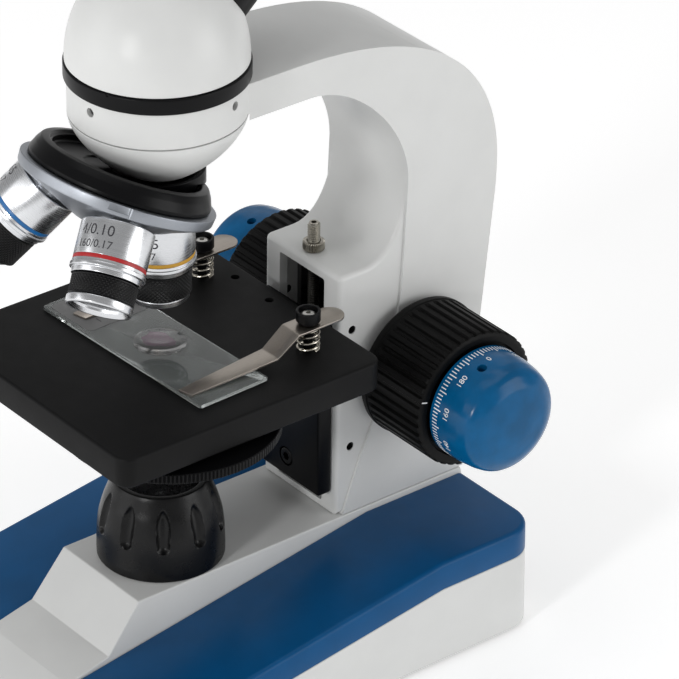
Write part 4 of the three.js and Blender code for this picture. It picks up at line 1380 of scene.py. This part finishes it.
def objective_barrel():
    """Barrel down to the grip, with a recess for the coloured band and a flange above the grip."""
    r, recess, flange = BARREL_R, BARREL_R - 0.18, BARREL_R + 0.32
    return lathe(rounded([
        (5, -43), (7.5, -43), (7.5, SEAT), (r, SEAT, 0.4), (r, BAND_TOP, 0.1), (recess, BAND_TOP - 0.04),
        (recess, BAND_BOTTOM + 0.04), (r, BAND_BOTTOM, 0.1), (r, LEDGE + 0.1, 0.15),
        (flange, LEDGE - 0.05, 0.1), (flange, LEDGE - 1.1, 0.25), (r - 0.5, LEDGE - 1.4, 0.2),
        (r - 0.6, BARREL_END, 0.2), (5, BARREL_END)], steps=4), 128)


def colour_band():
    low, high, out = BAND_BOTTOM + 0.06, BAND_TOP - 0.06, BARREL_R - 0.06
    profile = rounded([(out - 0.5, low), (out, low, 0.1), (out, high, 0.1), (out - 0.5, high)], steps=3)
    return lathe(profile, 128)


def knurl(end):
    """A grip with a diamond knurl between two plain lands."""
    count, per = 50, 6
    pitch = 2 * math.pi * 9.8 / count
    top = BARREL_END - 0.3

    def diamonds(radius, angle, z):
        if radius < 9.2 or z > top - 0.5 or z < end + 0.4:
            return radius
        u = angle * count / (2 * math.pi)
        v = z / pitch
        ridge = min(abs(((u + v) % 1) - 0.5), abs(((u - v) % 1) - 0.5)) * 2
        return radius - 0.42 * (1 - min(1.0, ridge * 1.6))
    rows = int((top - end) / pitch * per)
    wall = [(10.0 - 0.2 * i / rows, top - (top - end) * i / rows) for i in range(1, rows)]
    return lathe([(4, top), (9.6, top), *wall, (9.4, end), (4, end)], count * per, diamonds)


def nose_ring(start, end, tip, bore):
    """The bright end of an objective, with its bevelled mouth."""
    shoulder, fall = (tip + 0.1, 0.5) if tip > 8 else (tip + 0.5, 3.4)
    return lathe(rounded([
        (4, start), (9.3, start, 0.2), (shoulder, start - fall, 0.3), (tip, end + 0.4, 0.3),
        (tip - 0.35, end, 0.2), (bore + 0.3, end, 0.25), (bore - 0.8, end + 1.2, 0.2),
        (bore - 1.0, end + 2.0, 0.2), (bore - 2.0, end + 2.4), (4, end + 2.4)], steps=4), 112)


def front_lens(end, r):
    """A lens set back in the mouth, its bulging face down."""
    low, bulge = end + 2.3, 0.55
    angles = [math.radians(9 * i) for i in range(10)]
    dome = [(r * math.cos(a), low - bulge * math.sin(a)) for a in angles]
    return lathe([(0, end + 3.4), (r, end + 3.4), *dome, (0, low - bulge)], 56)


ENGRAVING = {"4x": ("4/0.10", "160/0.17"), "10x": ("10/0.25", "160/0.17"), "40x": ("40/0.65", "160/0.17")}
ENGRAVING_ANGLE = {"4x": 43.0, "10x": -72.0, "40x": 96.0}


def engraving(power):
    large, small = ENGRAVING[power]
    angle = math.radians(ENGRAVING_ANGLE[power])
    rows = ((large, 4.6, -51.2), (small, 3.4, -55.4))
    return joined(*[wrapped(lettering(text, size, 0.06), BARREL_R, angle, z) for text, size, z in rows])


OBJECTIVES = [    # name, place round the turret, end of the grip, end of the nose, radius of the nose
    ("10x", 0, -72.0, -74.3, 9.2), ("4x", -1, -69.5, -72.4, 9.9), ("40x", 1, -73.5, -81.0, 5.6),
]


def make_nosepiece():
    piece("nose_cover_disc", nose_cover(), "stand", SATIN_BLACK, TURRET, ["nosepiece_cover"])
    piece("turret_casting", nose_turret(), "turret", TURRET_METAL, TURRET, ["turret_body"])
    face = TURRET_FACE - 2.6
    hub = spun([(0, face), (5.4, face, 0.5), (6.2, face + 0.8, 0.3), (6.2, TURRET_FACE - 0.3),
                (3, TURRET_FACE - 0.3), (3, DISH - 0.6), (0, DISH - 0.6)], 64)
    hub = cut(hub, block((-5, -0.6, face - 1), (5, 0.6, face + 0.8)))
    piece("turret_hub_screw", hub, "stand", BRIGHT_STEEL, TURRET, ["turret_pivot_screw"])
    body, bright, dark = "turret", "objective_chrome", "objective_grip"
    for power, place, grip_end, end, tip in OBJECTIVES:
        at = spoke(place)
        axis = (at.to_3x3() @ Vector((0, 0, 1))).normalized()
        metal = turned_metal(f"satin_chrome_{power}", CHROME, 0.24, axis, 0.16, 0.003, 0.9)
        piece(f"barrel_{power}", objective_barrel(), body, metal, at, [f"objective_{power}_barrel"])
        piece(f"band_{power}", colour_band(), body, BANDS[power], at)
        piece(f"engraving_{power}", engraving(power), body, INK_BLACK, at)
        piece(f"grip_{power}", knurl(grip_end), body, GRIP_BLACK, at, [f"objective_{power}_nose"], 24)
        bore = tip - 1.3
        piece(f"mouth_{power}", nose_ring(grip_end - 0.02, end, tip, bore), body, metal, at)
        piece(f"front_lens_{power}", front_lens(end, bore - 1.25), body, SMOKED_GLASS, at)


DOME_CENTRE, DOME_WALL = 98.3, 3
TUBE_LOW, TUBE_HIGH = 17, 112
TUBE_R, TUBE_BORE = 14.4, 12.2
OCULAR_R, OCULAR_BORE = 15.6, 9.6


def dome_shell():
    low, high = span("head_dome")
    r, bottom = high.x, low.z

    def arc(shrink):
        angles = (math.radians(90 * i / 40) for i in range(40))
        side = [((r - shrink) * math.cos(a), DOME_CENTRE + (high.z - DOME_CENTRE - shrink) * math.sin(a))
                for a in angles]
        return [*side, (0, high.z - shrink)]
    shell = lathe([(r - DOME_WALL, bottom), (r - 0.25, bottom), (r, bottom + 0.25), *arc(0)], 160)
    hole = drill(15.45, 5, 60, 96)
    hole.transform(OPTICAL.inverted() @ TUBE)
    hollow = lathe([(0, bottom - 2), (r - DOME_WALL, bottom - 2), *arc(DOME_WALL)], 96)
    return cut(shell, hollow, hole)


def ocular_tube():
    return hoop([(TUBE_BORE, TUBE_LOW), (15.3, TUBE_LOW), (15.3, 46, 0.4), (TUBE_R, 47, 0.3),
                 (TUBE_R, TUBE_HIGH, 0.4), (TUBE_BORE, TUBE_HIGH, 0.3)], 120)


def ocular_barrel():
    """The eyepiece's barrel, with a fine groove round its head."""
    r, low = OCULAR_R, TUBE_HIGH + 0.3
    return hoop([(OCULAR_BORE, 84), (11.8, 84, 0.3), (11.8, low), (r, low, 0.5), (r, 114.6, 0.3),
                 (r - 0.5, 114.9, 0.2), (r - 0.5, 115.5, 0.2), (r, 115.8, 0.3), (r, 128, 1.5),
                 (14, 131.5, 0.6), (OCULAR_BORE, 131.5)], 120)


def eyecup():
    return hoop([(10.4, 131.8, 0.3), (16, 131.8, 0.6), (16.3, 134, 1), (17, 138.4, 0.6), (16, 139, 0.4),
                 (13.2, 134.6, 3), (10.4, 133.4, 0.4)], 120)


def make_viewing_head():
    piece("dome_shell", dome_shell(), "viewing_head", WHITE, stands_for=["head_dome"])
    refinish("prism", LENS, 0.2)
    refinish("prism_seat", SATIN_BLACK, 0.2)
    piece("ocular_tube", ocular_tube(), "viewing_head", SATIN_BLACK, TUBE, ["eyepiece_tube"])
    piece("ocular_barrel", ocular_barrel(), "eyepiece", SATIN_BLACK, TUBE,
          ["eyepiece_barrel"])
    lens = [(0, 126), (9.3, 126), *smooth_through([(9.3, 128.3), (8, 128.9), (5, 129.4), (0, 129.8)], 5)]
    piece("ocular_lens", lathe(lens, 72), "eyepiece", LENS, TUBE, ["eye_lens"])
    piece("rubber_eyecup", eyecup(), "eyepiece", RUBBER, TUBE, ["eyecup"])


# ---------------- studio
def make_floor():
    bm = bmesh.new()
    bmesh.ops.create_grid(bm, x_segments=2, y_segments=2, size=6)
    floor = as_object("studio_floor", bm)
    paper = Finish("white_paper", 0.95)
    for socket, value in (("Base Color", FLOOR_COLOUR), ("Specular IOR Level", 0.0),
                          ("Emission Color", (1, 1, 1, 1)), ("Emission Strength", FLOOR_GLOW)):
        paper.set(socket, value)
    floor.data.materials.append(paper.material)


FLOOR_COLOUR = (0.93, 0.93, 0.93, 1)
FLOOR_GLOW = 0.3
SKY = 0.36
TARGET = Vector((0, 0, 0.12))
LAMPS = {   # direction from the target, distance, size and power
    "key": ((0.275, -0.909, 0.316), 1.6, 0.2, 7.0),
    "front": ((-0.3, -0.8, 0.15), 1.7, 1.2, 8.0),
    "overhead": ((-0.1, 0.1, 1), 1.5, 1.3, 6.5),
    "right": ((0.8, 0.5, 0.2), 1.6, 0.9, 7.5),
    "back": ((-0.67, 0.54, 0.506), 1.6, 1.0, 1.2),
}


def make_studio():
    scene = bpy.context.scene
    world = bpy.data.worlds.new("studio")
    world.use_nodes = True
    world.node_tree.nodes["Background"].inputs["Color"].default_value = (1, 1, 1, 1)
    world.node_tree.nodes["Background"].inputs["Strength"].default_value = SKY
    scene.world = world
    scene.view_settings.view_transform = "Standard"
    for name, (direction, distance, size, power) in LAMPS.items():
        lamp = bpy.data.lights.new(name, "AREA")
        lamp.size = size
        lamp.energy = power
        made = added(name, lamp)
        away = Vector(direction).normalized()
        made.location = TARGET + away * distance
        made.rotation_mode = "QUATERNION"
        made.rotation_quaternion = away.to_track_quat("Z", "Y")


CAMERA_PLACE = Vector((0.98664, -0.75170, 0.83448))
CAMERA_AZIMUTH, CAMERA_ELEVATION, CAMERA_ROLL = 50.9134, 30.405, 0.8735
LENS_LENGTH = 250.98


def make_camera():
    azimuth, elevation, roll = (math.radians(a) for a in (CAMERA_AZIMUTH, CAMERA_ELEVATION, CAMERA_ROLL))
    back = Vector((math.sin(azimuth) * math.cos(elevation), -math.cos(azimuth) * math.cos(elevation),
                   math.sin(elevation)))
    flat_right = Vector((math.cos(azimuth), math.sin(azimuth), 0))
    flat_up = back.cross(flat_right)
    right = math.cos(roll) * flat_right + math.sin(roll) * flat_up
    up = math.cos(roll) * flat_up - math.sin(roll) * flat_right
    camera = bpy.data.cameras.new("camera")
    camera.lens = LENS_LENGTH
    camera.sensor_width = 36
    camera.clip_start, camera.clip_end = 0.05, 50
    made = added("camera", camera)
    made.matrix_world = Matrix.Translation(CAMERA_PLACE) @ Matrix((right, up, back)).transposed().to_4x4()
    bpy.context.scene.camera = made


make_camera()
make_base()
make_lamp()
make_arm()
make_focus_drive()
make_stage()
make_fixed_head()
make_nosepiece()
make_viewing_head()
make_floor()
make_studio()
